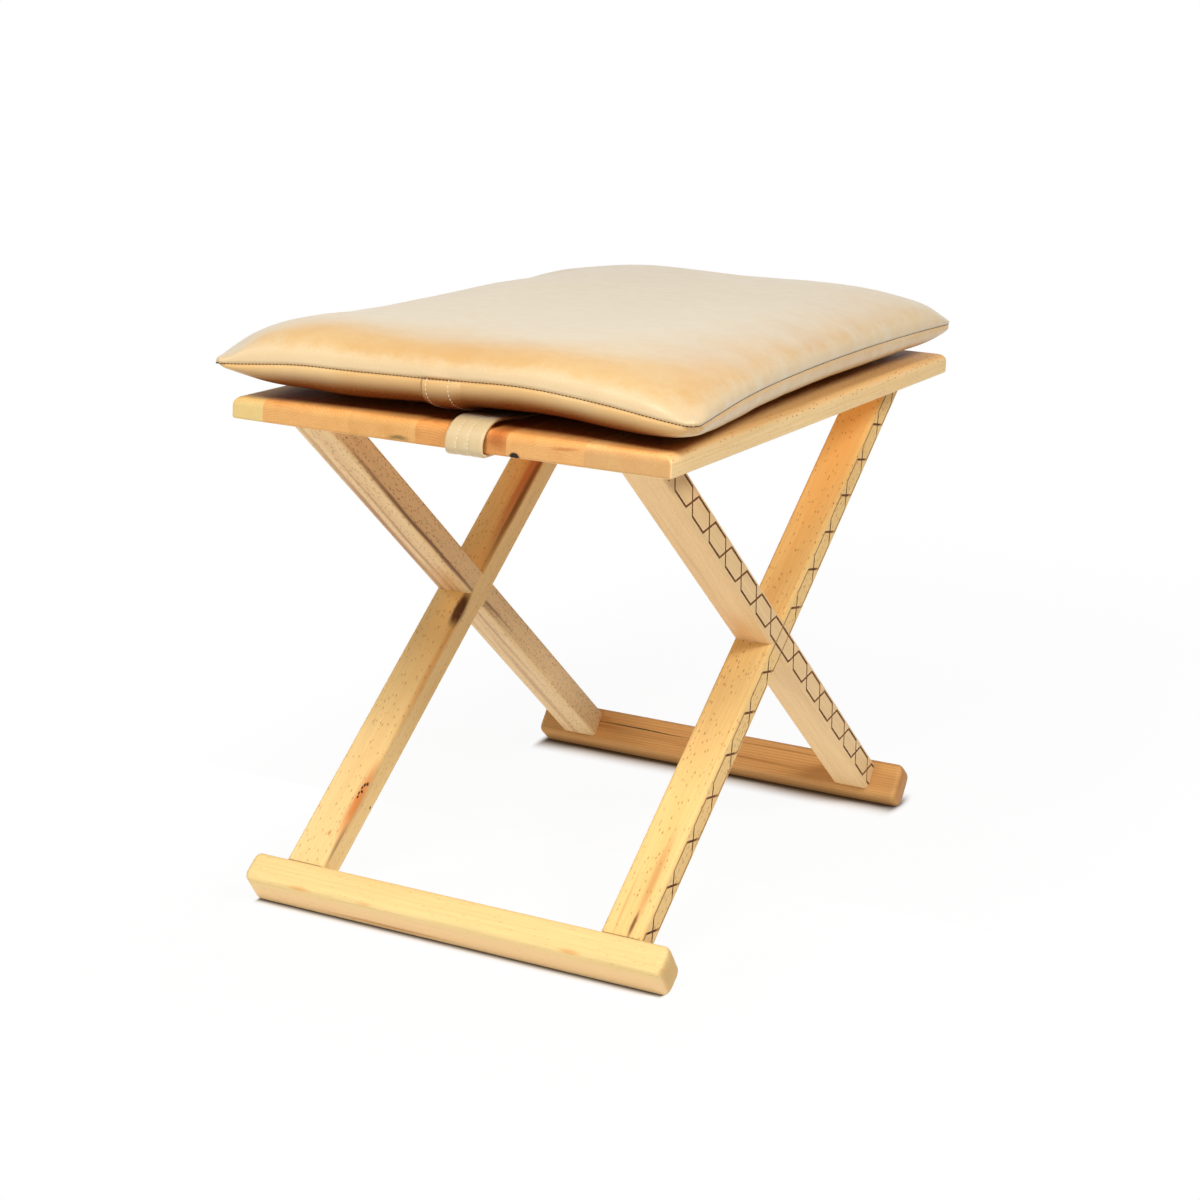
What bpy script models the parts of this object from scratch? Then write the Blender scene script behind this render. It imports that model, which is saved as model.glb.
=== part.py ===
"""X-frame stool with a leather cushion.

The frame is rigid beech: two X's of halved legs, two foot rails set square to the legs, and an edge-glued
seat board, all dowelled. A sewn leather cushion with a foam core lies on the board, and a leather strap goes
round the board under it.

Metres, +Z up. X runs along the foot rails, Y along the grain of the board, and the front is -Y. The origin is
on the floor under the middle of the board.
"""

import math

import bmesh
import bpy
from mathutils import Matrix, Vector

# Seat board, glued up from staves that run front to back
SEAT_WIDTH = 0.376
SEAT_DEPTH = 0.600
SEAT_THICKNESS = 0.0175
SEAT_UNDERSIDE = 0.408
SEAT_TOP_ROUND = 0.007
SEAT_EDGE_ROUND = 0.002
STAVE_SHARES = (0.077, 0.205, 0.157, 0.206, 0.170, 0.185)

# Legs and foot rails, planed from one size of bar
BAR_WIDTH = 0.035
BAR_THICKNESS = 0.026
BAR_ROUND = 0.0035
LEG_SIDE_INSET = 0.027
LEG_END_INSET = 0.053
FOOT_OVERHANG = 0.0280
SOLE_WIDTH = 0.005

# Dowels, two in each end of each leg
DOWEL_DIAMETER = 0.008
DOWEL_PITCH = 0.017
DOWEL_IN_SEAT = 0.014
DOWEL_IN_RAIL = 0.016
DOWEL_IN_LEG = 0.024
DOWEL_END_GAP = 0.0008
DOWEL_SIDES = 16

# Strap round the board, with its ends lapped and snapped together underneath
STRAP_WIDTH = 0.034
STRAP_THICKNESS = 0.003
STRAP_OFFSET = 0.021
STRAP_LAP = 0.040
STRAP_RAMP = 0.025
STUD_BASE_RADIUS = 0.005
STUD_BASE_THICKNESS = 0.0008
STUD_POST_RADIUS = 0.002
STUD_SOCKET_WALL = 0.0015
STUD_CAP_RADIUS = 0.0065
STUD_CAP_THICKNESS = 0.002
STUD_CAP_TAPER = 0.8

# Cushion: a knife-edge cover with drawn-in sides, sewn from one top panel and two bottom panels
CUSHION_SIDE_OVERHANG = 0.016
CUSHION_END_OVERHANG = 0.0055
CUSHION_DRAW_IN = 0.010
CUSHION_TURN = math.radians(1.7)
CUSHION_CROWN = 0.028
SEAM_RISE = 0.0325
SEAM_DROOP = 0.010
BELLY_DEPTH = 0.0405
LEATHER = 0.0015
HEM_OFFSET = -0.020
HEM_STEP = 0.0012
FOAM_CLEARANCE = 0.0005

# Fullness of the cushion's top and underside: how near the seams each stays flat, across and along the
# cushion, and how steeply it leaves them
TOP_FULLNESS = (4.4, 6.0, 0.40)
BELLY_FULLNESS = (4.4, 2.4, 0.34)

GAP = 0.0003
ARC_STEPS = 3
SMALL_ARC_STEPS = 2
ROUND_PROFILE = 0.5
SHARP_ANGLE = math.radians(35)
TURNED_STEPS = 20
CUSHION_CELLS = (20, 26)

# The legs' lean is worked out in rounds from a first guess
FIRST_LEAN = math.radians(45)
LEAN_ROUNDS = 40

# Places worked out from the sizes above
SEAT_TOP = SEAT_UNDERSIDE + SEAT_THICKNESS
LEG_X = SEAT_WIDTH / 2 - LEG_SIDE_INSET - BAR_WIDTH / 2
LEG_TOP_Y = SEAT_DEPTH / 2 - LEG_END_INSET
FOOT_LENGTH = 2 * (LEG_X + BAR_WIDTH / 2 + FOOT_OVERHANG)
CUSHION_BASE = SEAT_TOP + STRAP_THICKNESS + 2 * GAP
CUSHION_HALF_WIDTH = SEAT_WIDTH / 2 + CUSHION_SIDE_OVERHANG
CUSHION_HALF_DEPTH = SEAT_DEPTH / 2 + CUSHION_END_OVERHANG


def foot_joint_height(lean):
    """Height of the middle of a leg's lower end, on a rail that stands on its planed lower edge."""
    sine, cosine = math.sin(lean), math.cos(lean)
    planed_off = SOLE_WIDTH * sine * cosine
    return BAR_THICKNESS * cosine + BAR_WIDTH / 2 * sine - planed_off


def leg_lean():
    """Lean from upright at which each leg ends straight below the top of the leg that it crosses."""
    lean = FIRST_LEAN
    for _ in range(LEAN_ROUNDS):
        rise = SEAT_UNDERSIDE - foot_joint_height(lean)
        lean = math.atan2(2 * LEG_TOP_Y, rise)
    return lean


LEAN = leg_lean()
CROSS_HEIGHT = (SEAT_UNDERSIDE + foot_joint_height(LEAN)) / 2
HALF_LEG = (SEAT_UNDERSIDE - CROSS_HEIGHT) / math.cos(LEAN)


def material(name, colour, roughness, metallic=0.0):
    made = bpy.data.materials.new(name)
    made.use_nodes = True
    shader = made.node_tree.nodes["Principled BSDF"]
    shader.inputs["Base Color"].default_value = (*colour, 1.0)
    shader.inputs["Roughness"].default_value = roughness
    shader.inputs["Metallic"].default_value = metallic
    made.diffuse_color = (*colour, 1.0)
    return made


def piece(name, shape, finish, place=Matrix.Identity(4), parent=None):
    """A named object from a bmesh, in one material, placed and parented."""
    mesh = bpy.data.meshes.new(name)
    shape.normal_update()
    shape.to_mesh(mesh)
    shape.free()
    mesh.materials.append(finish)
    mesh.shade_smooth()
    mesh.set_sharp_from_angle(angle=SHARP_ANGLE)
    made = bpy.data.objects.new(name, mesh)
    bpy.context.scene.collection.objects.link(made)
    made.parent = parent
    made.matrix_local = place
    return made


def cutter(name, shape, place=Matrix.Identity(4)):
    made = piece(name, shape, MATERIALS["cutter"], place)
    made.hide_render = True
    made.display_type = "WIRE"
    return made


def cut(target, tool):
    boolean = target.modifiers.new(tool.name, "BOOLEAN")
    boolean.operation = "DIFFERENCE"
    boolean.solver = "EXACT"
    boolean.object = tool


def empty(name, location, turn=0.0):
    made = bpy.data.objects.new(name, None)
    made.matrix_world = Matrix.Translation(location) @ Matrix.Rotation(turn, 4, "Z")
    made.empty_display_size = 0.05
    bpy.context.scene.collection.objects.link(made)
    return made


def block(low, high):
    """A box between two corners."""
    shape = bmesh.new()
    size = Vector(high) - Vector(low)
    middle = (Vector(high) + Vector(low)) / 2
    place = Matrix.Translation(middle) @ Matrix.Diagonal((*size, 1.0))
    bmesh.ops.create_cube(shape, size=1.0, matrix=place)
    return shape


def soften(shape, edges, radius, steps=ARC_STEPS):
    bmesh.ops.bevel(
        shape, geom=edges, offset=radius, segments=steps, profile=ROUND_PROFILE, affect="EDGES",
        clamp_overlap=True,
    )


def along(edge, axis):
    """Whether an edge of a box runs along an axis, given by its index."""
    run = edge.verts[1].co - edge.verts[0].co
    return abs(run[axis]) > 0.5 * run.length


def slice_off(shape, point, normal):
    """Cut away what lies past a plane, on the side that its normal points to, and close the cut."""
    everything = shape.verts[:] + shape.edges[:] + shape.faces[:]
    made = bmesh.ops.bisect_plane(shape, geom=everything, plane_co=point, plane_no=normal, clear_outer=True)
    rim = [item for item in made["geom_cut"] if isinstance(item, bmesh.types.BMEdge)]
    bmesh.ops.edgeloop_fill(shape, edges=rim)
    bmesh.ops.recalc_face_normals(shape, faces=shape.faces[:])


def cylinder(shape, radius, low, high, place):
    """Add a capped cylinder along local Z to a bmesh."""
    centred = place @ Matrix.Translation((0, 0, (low + high) / 2))
    bmesh.ops.create_cone(
        shape, cap_ends=True, segments=DOWEL_SIDES, radius1=radius, radius2=radius, depth=high - low,
        matrix=centred,
    )


def turned(profile):
    """A solid turned about Z from (radius, height) points that start and end on the axis, top to bottom."""
    shape = bmesh.new()
    points = [shape.verts.new((radius, 0.0, height)) for radius, height in profile]
    edges = [shape.edges.new(pair) for pair in zip(points, points[1:])]
    bmesh.ops.spin(
        shape, geom=points + edges, cent=(0, 0, 0), axis=(0, 0, 1), angle=2 * math.pi, steps=TURNED_STEPS
    )
    bmesh.ops.remove_doubles(shape, verts=shape.verts[:], dist=1e-6)
    bmesh.ops.recalc_face_normals(shape, faces=shape.faces[:])
    return shape


def stands_back(foot):
    """+1 for a leg or rail at the back of the stool, -1 at the front."""
    return 1 if foot == "back" else -1


def leg_place(side, foot):
    """A leg's own frame: its origin at the crossing, Z up along the leg, X across it."""
    x = LEG_X if side == "right" else -LEG_X
    lean = Matrix.Rotation(stands_back(foot) * LEAN, 4, "X")
    return Matrix.Translation((x, 0, CROSS_HEIGHT)) @ lean


def rail_place(foot):
    """A rail's own frame, turned square to its legs, with its origin where their lower ends meet it."""
    y = stands_back(foot) * LEG_TOP_Y
    lean = Matrix.Rotation(stands_back(foot) * LEAN, 4, "X")
    return Matrix.Translation((0, y, foot_joint_height(LEAN))) @ lean


def make_staves():
    """The board as one block with rounded edges, sawn into staves with a glue line between them."""
    half_width, half_depth = SEAT_WIDTH / 2, SEAT_DEPTH / 2
    left = -half_width
    for number, share in enumerate(STAVE_SHARES, start=1):
        right = left + SEAT_WIDTH * share / sum(STAVE_SHARES)
        shape = block((-half_width, -half_depth, SEAT_UNDERSIDE), (half_width, half_depth, SEAT_TOP))
        top = [edge for edge in shape.edges if all(vert.co.z > SEAT_TOP - GAP for vert in edge.verts)]
        soften(shape, top, SEAT_TOP_ROUND)
        low = SEAT_UNDERSIDE + GAP
        bottom = [edge for edge in shape.edges if all(vert.co.z < low for vert in edge.verts)]
        soften(shape, bottom, SEAT_EDGE_ROUND, SMALL_ARC_STEPS)
        if number > 1:
            slice_off(shape, (left + GAP / 2, 0, 0), (-1, 0, 0))
        if number < len(STAVE_SHARES):
            slice_off(shape, (right - GAP / 2, 0, 0), (1, 0, 0))
        stave = piece(f"seat_stave_{number}", shape, MATERIALS["seat"])
        cut(stave, bpy.data.objects["seat_dowel_holes"])
        left = right


def make_leg(side, foot):
    """A leg of an X. The two legs of an X are halved into each other, the back one on the outside."""
    place = leg_place(side, foot)
    over_long = HALF_LEG + BAR_THICKNESS * math.tan(LEAN)
    half_width, half_thickness = BAR_WIDTH / 2, BAR_THICKNESS / 2
    shape = block((-half_width, -half_thickness, -HALF_LEG + GAP), (half_width, half_thickness, over_long))
    soften(shape, [edge for edge in shape.edges if along(edge, 2)], BAR_ROUND)
    into_leg = place.inverted()
    seat_plane = into_leg @ Vector((0, 0, SEAT_UNDERSIDE - GAP))
    slice_off(shape, seat_plane, into_leg.to_3x3() @ Vector((0, 0, 1)))
    leg = piece(f"{side}_{foot}_leg", shape, MATERIALS["leg"], place)

    outward = 1 if side == "right" else -1
    removed = -outward if foot == "back" else outward
    lap_low, lap_high = sorted((-removed * GAP / 2, removed * BAR_WIDTH))
    reach = BAR_THICKNESS / math.sin(2 * LEAN) + BAR_THICKNESS
    half_notch = half_thickness + GAP
    notch = block((lap_low, -half_notch, -reach), (lap_high, half_notch, reach))
    other = "front" if foot == "back" else "back"
    cut(leg, cutter(f"{side}_{foot}_leg_notch", notch, leg_place(side, other)))
    cut(leg, bpy.data.objects["seat_dowel_holes"])
    cut(leg, bpy.data.objects["foot_dowel_holes"])


def make_rail(foot):
    """A foot rail under one end of both X's, resting on its planed lower edge."""
    place = rail_place(foot)
    half_length, half_width = FOOT_LENGTH / 2, BAR_WIDTH / 2
    shape = block((-half_length, -half_width, -BAR_THICKNESS), (half_length, half_width, 0))
    soften(shape, shape.edges[:], BAR_ROUND)
    into_rail = place.inverted()
    slice_off(shape, into_rail @ Vector((0, 0, 0)), into_rail.to_3x3() @ Vector((0, 0, -1)))
    rail = piece(f"{foot}_foot_rail", shape, MATERIALS["rail"], place)
    cut(rail, bpy.data.objects["foot_dowel_holes"])


def dowel_spans():
    """Each end of a leg with its dowels' low and high ends along the leg, measured from the crossing."""
    return {
        "seat": (HALF_LEG - DOWEL_IN_LEG, HALF_LEG + DOWEL_IN_SEAT),
        "foot": (-HALF_LEG - DOWEL_IN_RAIL, -HALF_LEG + DOWEL_IN_LEG),
    }


def make_dowels():
    """The dowels at both ends of each leg, along the leg, and the holes that they sit in."""
    for end, (low, high) in dowel_spans().items():
        holes = bmesh.new()
        for side in ("left", "right"):
            for foot in ("front", "back"):
                for number, offset in enumerate((-DOWEL_PITCH / 2, DOWEL_PITCH / 2), start=1):
                    place = leg_place(side, foot) @ Matrix.Translation((offset, 0, 0))
                    bottom, top = low - DOWEL_END_GAP, high + DOWEL_END_GAP
                    cylinder(holes, DOWEL_DIAMETER / 2 + GAP, bottom, top, place)
                    pin = bmesh.new()
                    cylinder(pin, DOWEL_DIAMETER / 2, low, high, Matrix.Identity(4))
                    piece(f"{side}_{foot}_{end}_dowel_{number}", pin, MATERIALS["dowel"], place)
        cutter(f"{end}_dowel_holes", holes)


def strap_route():
    """The strap's inner face as (point, outward normal) pairs in the YZ plane, from inner end to tail."""
    end_y, under = SEAT_DEPTH / 2, SEAT_UNDERSIDE - GAP
    down, lap = Vector((0, -1)), STRAP_LAP / 2
    tail_drop = STRAP_THICKNESS + GAP
    route = [(Vector((lap, under)), down)]
    quarter = math.pi / 2
    corners = (
        (-1, SEAT_UNDERSIDE + SEAT_EDGE_ROUND, SEAT_EDGE_ROUND, 3 * quarter),
        (-1, SEAT_TOP - SEAT_TOP_ROUND, SEAT_TOP_ROUND, 2 * quarter),
        (1, SEAT_TOP - SEAT_TOP_ROUND, SEAT_TOP_ROUND, quarter),
        (1, SEAT_UNDERSIDE + SEAT_EDGE_ROUND, SEAT_EDGE_ROUND, 0.0),
    )
    for end, height, radius, start in corners:
        centre = Vector((end * (end_y - radius), height))
        for step in range(2 * ARC_STEPS + 1):
            angle = start - quarter * step / (2 * ARC_STEPS)
            normal = Vector((math.cos(angle), math.sin(angle)))
            route.append((centre + (radius + GAP) * normal, normal))
    ramp_end = lap + STRAP_THICKNESS
    route.append((Vector((ramp_end + STRAP_RAMP, under)), down))
    route.append((Vector((ramp_end, under - tail_drop)), down))
    route.append((Vector((-lap, under - tail_drop)), down))
    return route


def make_strap(axis):
    """The strap as one strip round the board, with the two halves of its snap in the lapped ends."""
    shape = bmesh.new()
    half = STRAP_WIDTH / 2
    origin = axis.matrix_world.translation
    rings = []
    for inner, normal in strap_route():
        outer = inner + STRAP_THICKNESS * normal
        corners = ((-half, inner), (half, inner), (half, outer), (-half, outer))
        rings.append([shape.verts.new((x, y - origin.y, z - origin.z)) for x, (y, z) in corners])
    for ring, after in zip(rings, rings[1:]):
        for first in range(4):
            second = (first + 1) % 4
            shape.faces.new((ring[first], ring[second], after[second], after[first]))
    shape.faces.new(rings[0])
    shape.faces.new(rings[-1][::-1])
    bmesh.ops.recalc_face_normals(shape, faces=shape.faces[:])
    strap = piece("cushion_strap", shape, MATERIALS["leather"], parent=axis)

    # Heights of the two layers of the lap, from the strap's own origin
    inner_top = SEAT_UNDERSIDE - GAP - origin.z
    inner_bottom = inner_top - STRAP_THICKNESS
    tail_top = inner_bottom - GAP
    tail_bottom = tail_top - STRAP_THICKNESS
    post_end = tail_bottom + GAP
    base_bottom = inner_top - STUD_BASE_THICKNESS
    cap_top = tail_bottom - GAP
    cap_bottom = cap_top - STUD_CAP_THICKNESS
    bore = STUD_POST_RADIUS + GAP
    socket = bore + STUD_SOCKET_WALL

    post = turned((
        (0, inner_top), (STUD_BASE_RADIUS, inner_top), (STUD_BASE_RADIUS, base_bottom),
        (STUD_POST_RADIUS, base_bottom), (STUD_POST_RADIUS, post_end), (0, post_end),
    ))
    piece("strap_stud_post", post, MATERIALS["brass"], parent=axis)
    cap = turned((
        (0, tail_bottom), (bore, tail_bottom), (bore, tail_top), (socket, tail_top), (socket, cap_top),
        (STUD_CAP_RADIUS, cap_top), (STUD_CAP_RADIUS, (cap_top + cap_bottom) / 2),
        (STUD_CAP_RADIUS * STUD_CAP_TAPER, cap_bottom), (0, cap_bottom),
    ))
    piece("strap_stud_cap", cap, MATERIALS["brass"], parent=axis)

    beyond = STRAP_THICKNESS / 2
    holes = (
        ("strap_post_pocket", STUD_BASE_RADIUS + GAP, base_bottom - GAP, inner_top + beyond),
        ("strap_post_hole", bore, inner_bottom - GAP / 2, inner_top),
        ("strap_socket_hole", socket + GAP, tail_bottom - beyond, tail_top + GAP / 2),
    )
    for name, radius, low, high in holes:
        hole = bmesh.new()
        cylinder(hole, radius, low, high, Matrix.Identity(4))
        cut(strap, cutter(name, hole, axis.matrix_world))


def spread(cells, low=-1.0, high=1.0):
    """Grid values from low to high within -1..1, closer together towards the seams at -1 and 1."""
    first, last = math.asin(low), math.asin(high)
    return [math.sin(first + (last - first) * step / cells) for step in range(cells + 1)]


def fullness(u, v, shape):
    """How full the cushion is, from 0 on its seams to 1 in the middle."""
    across, lengthways, steepness = shape
    from_sides = max(0.0, 1 - abs(u) ** across)
    from_ends = max(0.0, 1 - abs(v) ** lengthways)
    return (from_sides * from_ends) ** steepness


def cushion_point(u, v, face, inset, proud=0.0):
    """A point of the cushion's top (face 1) or underside (face -1), inset from its outer surface."""
    half_width = CUSHION_HALF_WIDTH - inset - CUSHION_DRAW_IN * (1 - v * v)
    half_depth = CUSHION_HALF_DEPTH - inset - CUSHION_DRAW_IN * (1 - u * u)
    seam = SEAM_RISE - SEAM_DROOP * (u * v) ** 2
    if face > 0:
        height = seam + (CUSHION_CROWN - inset) * fullness(u, v, TOP_FULLNESS)
    else:
        height = max(inset, seam - (BELLY_DEPTH - inset + proud) * fullness(u, v, BELLY_FULLNESS))
    return Vector((u * half_width, v * half_depth, height))


def patch(us, vs, face, inset, shift=0.0, proud=0.0):
    """A grid of points over part of the cushion's top or underside."""
    lift = Vector((0, 0, shift))
    return [[cushion_point(u, v, face, inset, proud) + lift for v in vs] for u in us]


def closed_between(over, under, sewn=False):
    """A closed solid between an upper and a lower grid of points, which share their rim if they are sewn."""
    shape = bmesh.new()
    rows, columns = len(over), len(over[0])

    def on_rim(i, j):
        return i in (0, rows - 1) or j in (0, columns - 1)

    top = [[shape.verts.new(point) for point in row] for row in over]
    bottom = [
        [top[i][j] if sewn and on_rim(i, j) else shape.verts.new(under[i][j]) for j in range(columns)]
        for i in range(rows)
    ]
    for i in range(rows - 1):
        for j in range(columns - 1):
            near, far = (i, j), (i + 1, j + 1)
            for corners in ((near, (i + 1, j), far), (near, far, (i, j + 1))):
                if sewn and all(on_rim(k, m) for k, m in corners):
                    continue
                shape.faces.new([top[k][m] for k, m in corners])
                shape.faces.new([bottom[k][m] for k, m in reversed(corners)])
    rim = [(i, 0) for i in range(rows)] + [(rows - 1, j) for j in range(1, columns)]
    rim += [(i, columns - 1) for i in range(rows - 2, -1, -1)] + [(0, j) for j in range(columns - 2, 0, -1)]
    if not sewn:
        for (i, j), (k, m) in zip(rim, rim[1:] + rim[:1]):
            shape.faces.new((bottom[i][j], bottom[k][m], top[k][m], top[i][j]))
    return shape


def make_cushion(axis):
    """The cover's panels as thin shells, sewn edge to edge, round a foam core."""
    cells_u, cells_v = CUSHION_CELLS
    hem = HEM_OFFSET / CUSHION_HALF_WIDTH
    hem_gap = GAP / CUSHION_HALF_WIDTH
    left_us = spread(cells_u // 2, -1.0, hem)
    right_us = spread(cells_u // 2, hem, 1.0)
    us, vs = left_us + right_us[1:], spread(cells_v)
    top = closed_between(patch(us, vs, 1, 0, GAP / 2), patch(us, vs, 1, LEATHER, GAP / 2))
    piece("cushion_top_panel", top, MATERIALS["leather"], parent=axis)

    # The right bottom panel's hem stands a little proud of the left panel along the cover's opening
    bottoms = (
        ("cushion_bottom_left_panel", left_us[:-1] + [hem - hem_gap], 0.0),
        ("cushion_bottom_right_panel", [hem + hem_gap] + right_us[1:], HEM_STEP),
    )
    for name, columns, proud in bottoms:
        outside = patch(columns, vs, -1, 0, -GAP / 2, proud)
        inside = patch(columns, vs, -1, LEATHER, -GAP / 2)
        piece(name, closed_between(inside, outside), MATERIALS["leather"], parent=axis)

    core = LEATHER + FOAM_CLEARANCE
    foam = closed_between(patch(us, vs, 1, core), patch(us, vs, -1, core), sewn=True)
    piece("cushion_foam", foam, MATERIALS["foam"], parent=axis)


for old in list(bpy.data.objects):
    bpy.data.objects.remove(old, do_unlink=True)

MATERIALS = {
    "seat": material("oiled_beech_board", (0.62, 0.33, 0.15), 0.45),
    "leg": material("oiled_beech_leg", (0.72, 0.49, 0.27), 0.45),
    "rail": material("oiled_beech_rail", (0.70, 0.48, 0.25), 0.45),
    "dowel": material("beech_dowel", (0.76, 0.60, 0.40), 0.6),
    "leather": material("tan_leather", (0.72, 0.48, 0.24), 0.4),
    "foam": material("cream_foam", (0.85, 0.80, 0.66), 0.9),
    "brass": material("brass", (0.75, 0.55, 0.25), 0.3, 1.0),
    "cutter": material("cutter", (0.8, 0.1, 0.1), 0.8),
}

make_dowels()
make_staves()
for stool_side in ("left", "right"):
    for stool_foot in ("front", "back"):
        make_leg(stool_side, stool_foot)
for stool_foot in ("front", "back"):
    make_rail(stool_foot)
make_strap(empty("strap_slide_axis", (STRAP_OFFSET, 0, SEAT_UNDERSIDE)))
make_cushion(empty("cushion_lift_axis", (0, 0, CUSHION_BASE), CUSHION_TURN))
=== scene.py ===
"""X-frame stool in a white studio: oiled beech frame, tan leather cushion and strap.

Metres, in the frame of the solids: X along the foot rails, Y along the grain of the board, Z up, and the
front at -Y.
"""

import math

import bmesh
import bpy
import numpy as np
from mathutils import Matrix, Vector, noise


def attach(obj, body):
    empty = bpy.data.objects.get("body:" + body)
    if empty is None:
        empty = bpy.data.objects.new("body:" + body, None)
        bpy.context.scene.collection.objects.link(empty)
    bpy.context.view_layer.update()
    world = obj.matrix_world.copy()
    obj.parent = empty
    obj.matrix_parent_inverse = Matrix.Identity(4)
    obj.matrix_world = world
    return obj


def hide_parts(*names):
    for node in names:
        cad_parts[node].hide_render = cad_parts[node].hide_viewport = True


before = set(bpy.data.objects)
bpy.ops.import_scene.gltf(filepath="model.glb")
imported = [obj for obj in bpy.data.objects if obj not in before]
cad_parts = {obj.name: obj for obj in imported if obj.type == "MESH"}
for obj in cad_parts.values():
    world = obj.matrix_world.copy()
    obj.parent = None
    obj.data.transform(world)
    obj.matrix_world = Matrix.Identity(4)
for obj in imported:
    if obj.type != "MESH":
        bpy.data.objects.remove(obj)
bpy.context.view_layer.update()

# Seat board
SEAT_WIDTH = 0.376
SEAT_DEPTH = 0.600
SEAT_UNDERSIDE = 0.408
SEAT_TOP = 0.4255
SEAT_TOP_ROUND = 0.007
SEAT_EDGE_ROUND = 0.002
SEAT_CORNER_ROUND = 0.0022
STAVE_SHARES = (0.077, 0.205, 0.157, 0.206, 0.170, 0.185)
GLUE_LINE = 0.00004

# Legs and foot rails
BAR_WIDTH = 0.035
BAR_THICKNESS = 0.026
BAR_ROUND = 0.0035
RAIL_ROUND = 0.0048
RAIL_END_ROUND = 0.0065
LEG_X = 0.1435
LEG_TOP_Y = 0.247
FOOT_LENGTH = 0.378
SOLE_Y = 0.257
SOLE_WIDTH = 0.005
FOOT_LINE = 0.00025
LAP_LINE = 0.00003

# Line carved in the outer faces of the legs: two zigzags that mirror each other
CHAIN_PERIOD = 0.0432
CHAIN_STRAIGHT = 0.0272
CHAIN_HALF_WIDTH = 0.0086
GROOVE_RADIUS = 0.00110
CHAIN_POINTS_UP = 14
CHAIN_POINTS_DOWN = 15

# Cushion
CUSHION_BASE = 0.4291
CUSHION_HALF_WIDTH = 0.204
CUSHION_HALF_DEPTH = 0.3055
CUSHION_DRAW_IN = 0.010
CUSHION_TURN = math.radians(1.7)
CUSHION_SLIP = (-0.0060, -0.0015)
CUSHION_CROWN = 0.029
SEAM_RISE = 0.0325
SEAM_DROOP = 0.009
SEAM_RIGHT_DROP = 0.006
SEAM_LEFT_DROP = 0.004
SEAM_END_DROP = 0.004
BELLY_DEPTH = 0.0405
BELLY_ACROSS = 3.4
BELLY_ALONG = 2.4
BELLY_STEEPNESS = 0.33
BELLY_CORNER = 0.014
BELLY_CORNER_SWEEP = 0.6
BELLY_SAG = 0.0026
SAG_START = 0.66
SAG_RAMP = 0.16
FULLNESS_ACROSS = 4.6
FULLNESS_ALONG = 8.0
STEEPNESS = 0.35
EAR_PINCH = 0.62
EAR_LENGTH = 0.021
EAR_NUB = 0.0036
BACK_EAR_NUB = 0.0018
EAR_REACH = 0.0095
EAR_ROUND = 0.0034
EAR_TIP = 0.006
EAR_EDGE = 0.003
COVER_CELLS = (116, 156)
COVER_LEVELS = (0.0003, 0.0006, 0.0009, 0.0013, 0.0018)

# Creases of the cover: the depth and size of its slack and puckers, how far from the seam each is felt, the
# height above the board below which it lies smooth, and the groove that the seam is drawn into
SLACK_BROAD = (0.0016, 0.11)
SLACK_FINE = (0.0007, 0.045)
SLACK_START = 0.02
PUCKER_TOP = 0.0010
PUCKER_UNDER = 0.0005
PUCKER_SIZE = 0.018
PUCKER_REACH = 0.018
PUCKER_START = 0.003
REST_HEIGHT = 0.006
SEAM_GROOVE = 0.0016
SEAM_GROOVE_REACH = 0.0013
SEAM_SQUARENESS = 15

# Hem of the opening. Its section gives how far along its width and how much of its thickness it stands up
HEM_EDGE = -0.0225
HEM_WIDTH = 0.036
HEM_THICKNESS = 0.0030
# The share of the hem's width, from its edge, that takes the underside's painted shade
HEM_SHADE = 0.040
HEM_SINK = 0.0006
HEM_ROOM = 0.004
HEM_REST = -0.0002
HEM_ROWS = (0.0046, 0.0230)
HEM_SECTION = (
    (0.0, -0.15), (0.0, 0.25), (0.004, 0.62), (0.014, 0.88), (0.030, 0.98), (0.055, 1.0), (0.10, 1.0),
    (0.2, 1.0), (0.35, 1.0), (0.5, 1.0), (0.62, 0.92), (0.75, 0.6), (0.88, 0.15), (1.0, -0.25),
)

# Where the filling has moved: the middle of each place, its reach, and how far it stands up or sinks
FILL_PLACES = (
    (-0.95, 0.05, 0.30, 0.70, -0.0070),
    (-0.85, 0.62, 0.35, 0.28, -0.0062),
    (-0.82, -0.85, 0.28, 0.20, 0.0058),
    (-0.35, 0.95, 0.30, 0.25, 0.0030),
    (0.70, 0.80, 0.35, 0.25, 0.0025),
)

# Where the seam itself is lifted or pulled down, in the same way
SEAM_PLACES = (
    (-0.95, -1.0, 0.15, 0.30, -0.0012),
    (-0.62, -1.0, 0.14, 0.30, 0.0012),
    (0.28, -1.0, 0.26, 0.30, 0.0028),
    (0.95, -1.0, 0.26, 0.30, -0.0050),
)

# Where the underside hangs lower or is drawn up, in the same way
BELLY_PLACES = (
    (-0.48, -0.93, 0.20, 0.08, 0.0025),
    (0.72, -0.93, 0.16, 0.08, 0.0015),
    (0.93, 0.10, 0.15, 0.80, -0.0075),
    (-0.98, -0.98, 0.13, 0.10, -0.0180),
)

# Strap
STRAP_WIDTH = 0.0318
STRAP_THICKNESS = 0.003
STRAP_OFFSET = 0.0221
STRAP_LAP = 0.040
STRAP_RAMP = 0.025
STRAP_GAP = 0.0003
STRAP_BEND = (0.023, 0.015)
STRAP_HUMP = 0.0036
STRAP_HUMP_RUN = 0.040
STRAP_STANDOFF = 0.0038
STRAP_ROWS = (-0.0063, 0.0032)
STRAP_FOLD = 0.46
STRAP_DENT = 0.00026
STRAP_DENT_REACH = 0.0016
STRAP_WRINKLE = 0.00016
STRAP_PITCH = 0.004
THREAD_SINK = 0.0003
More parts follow.
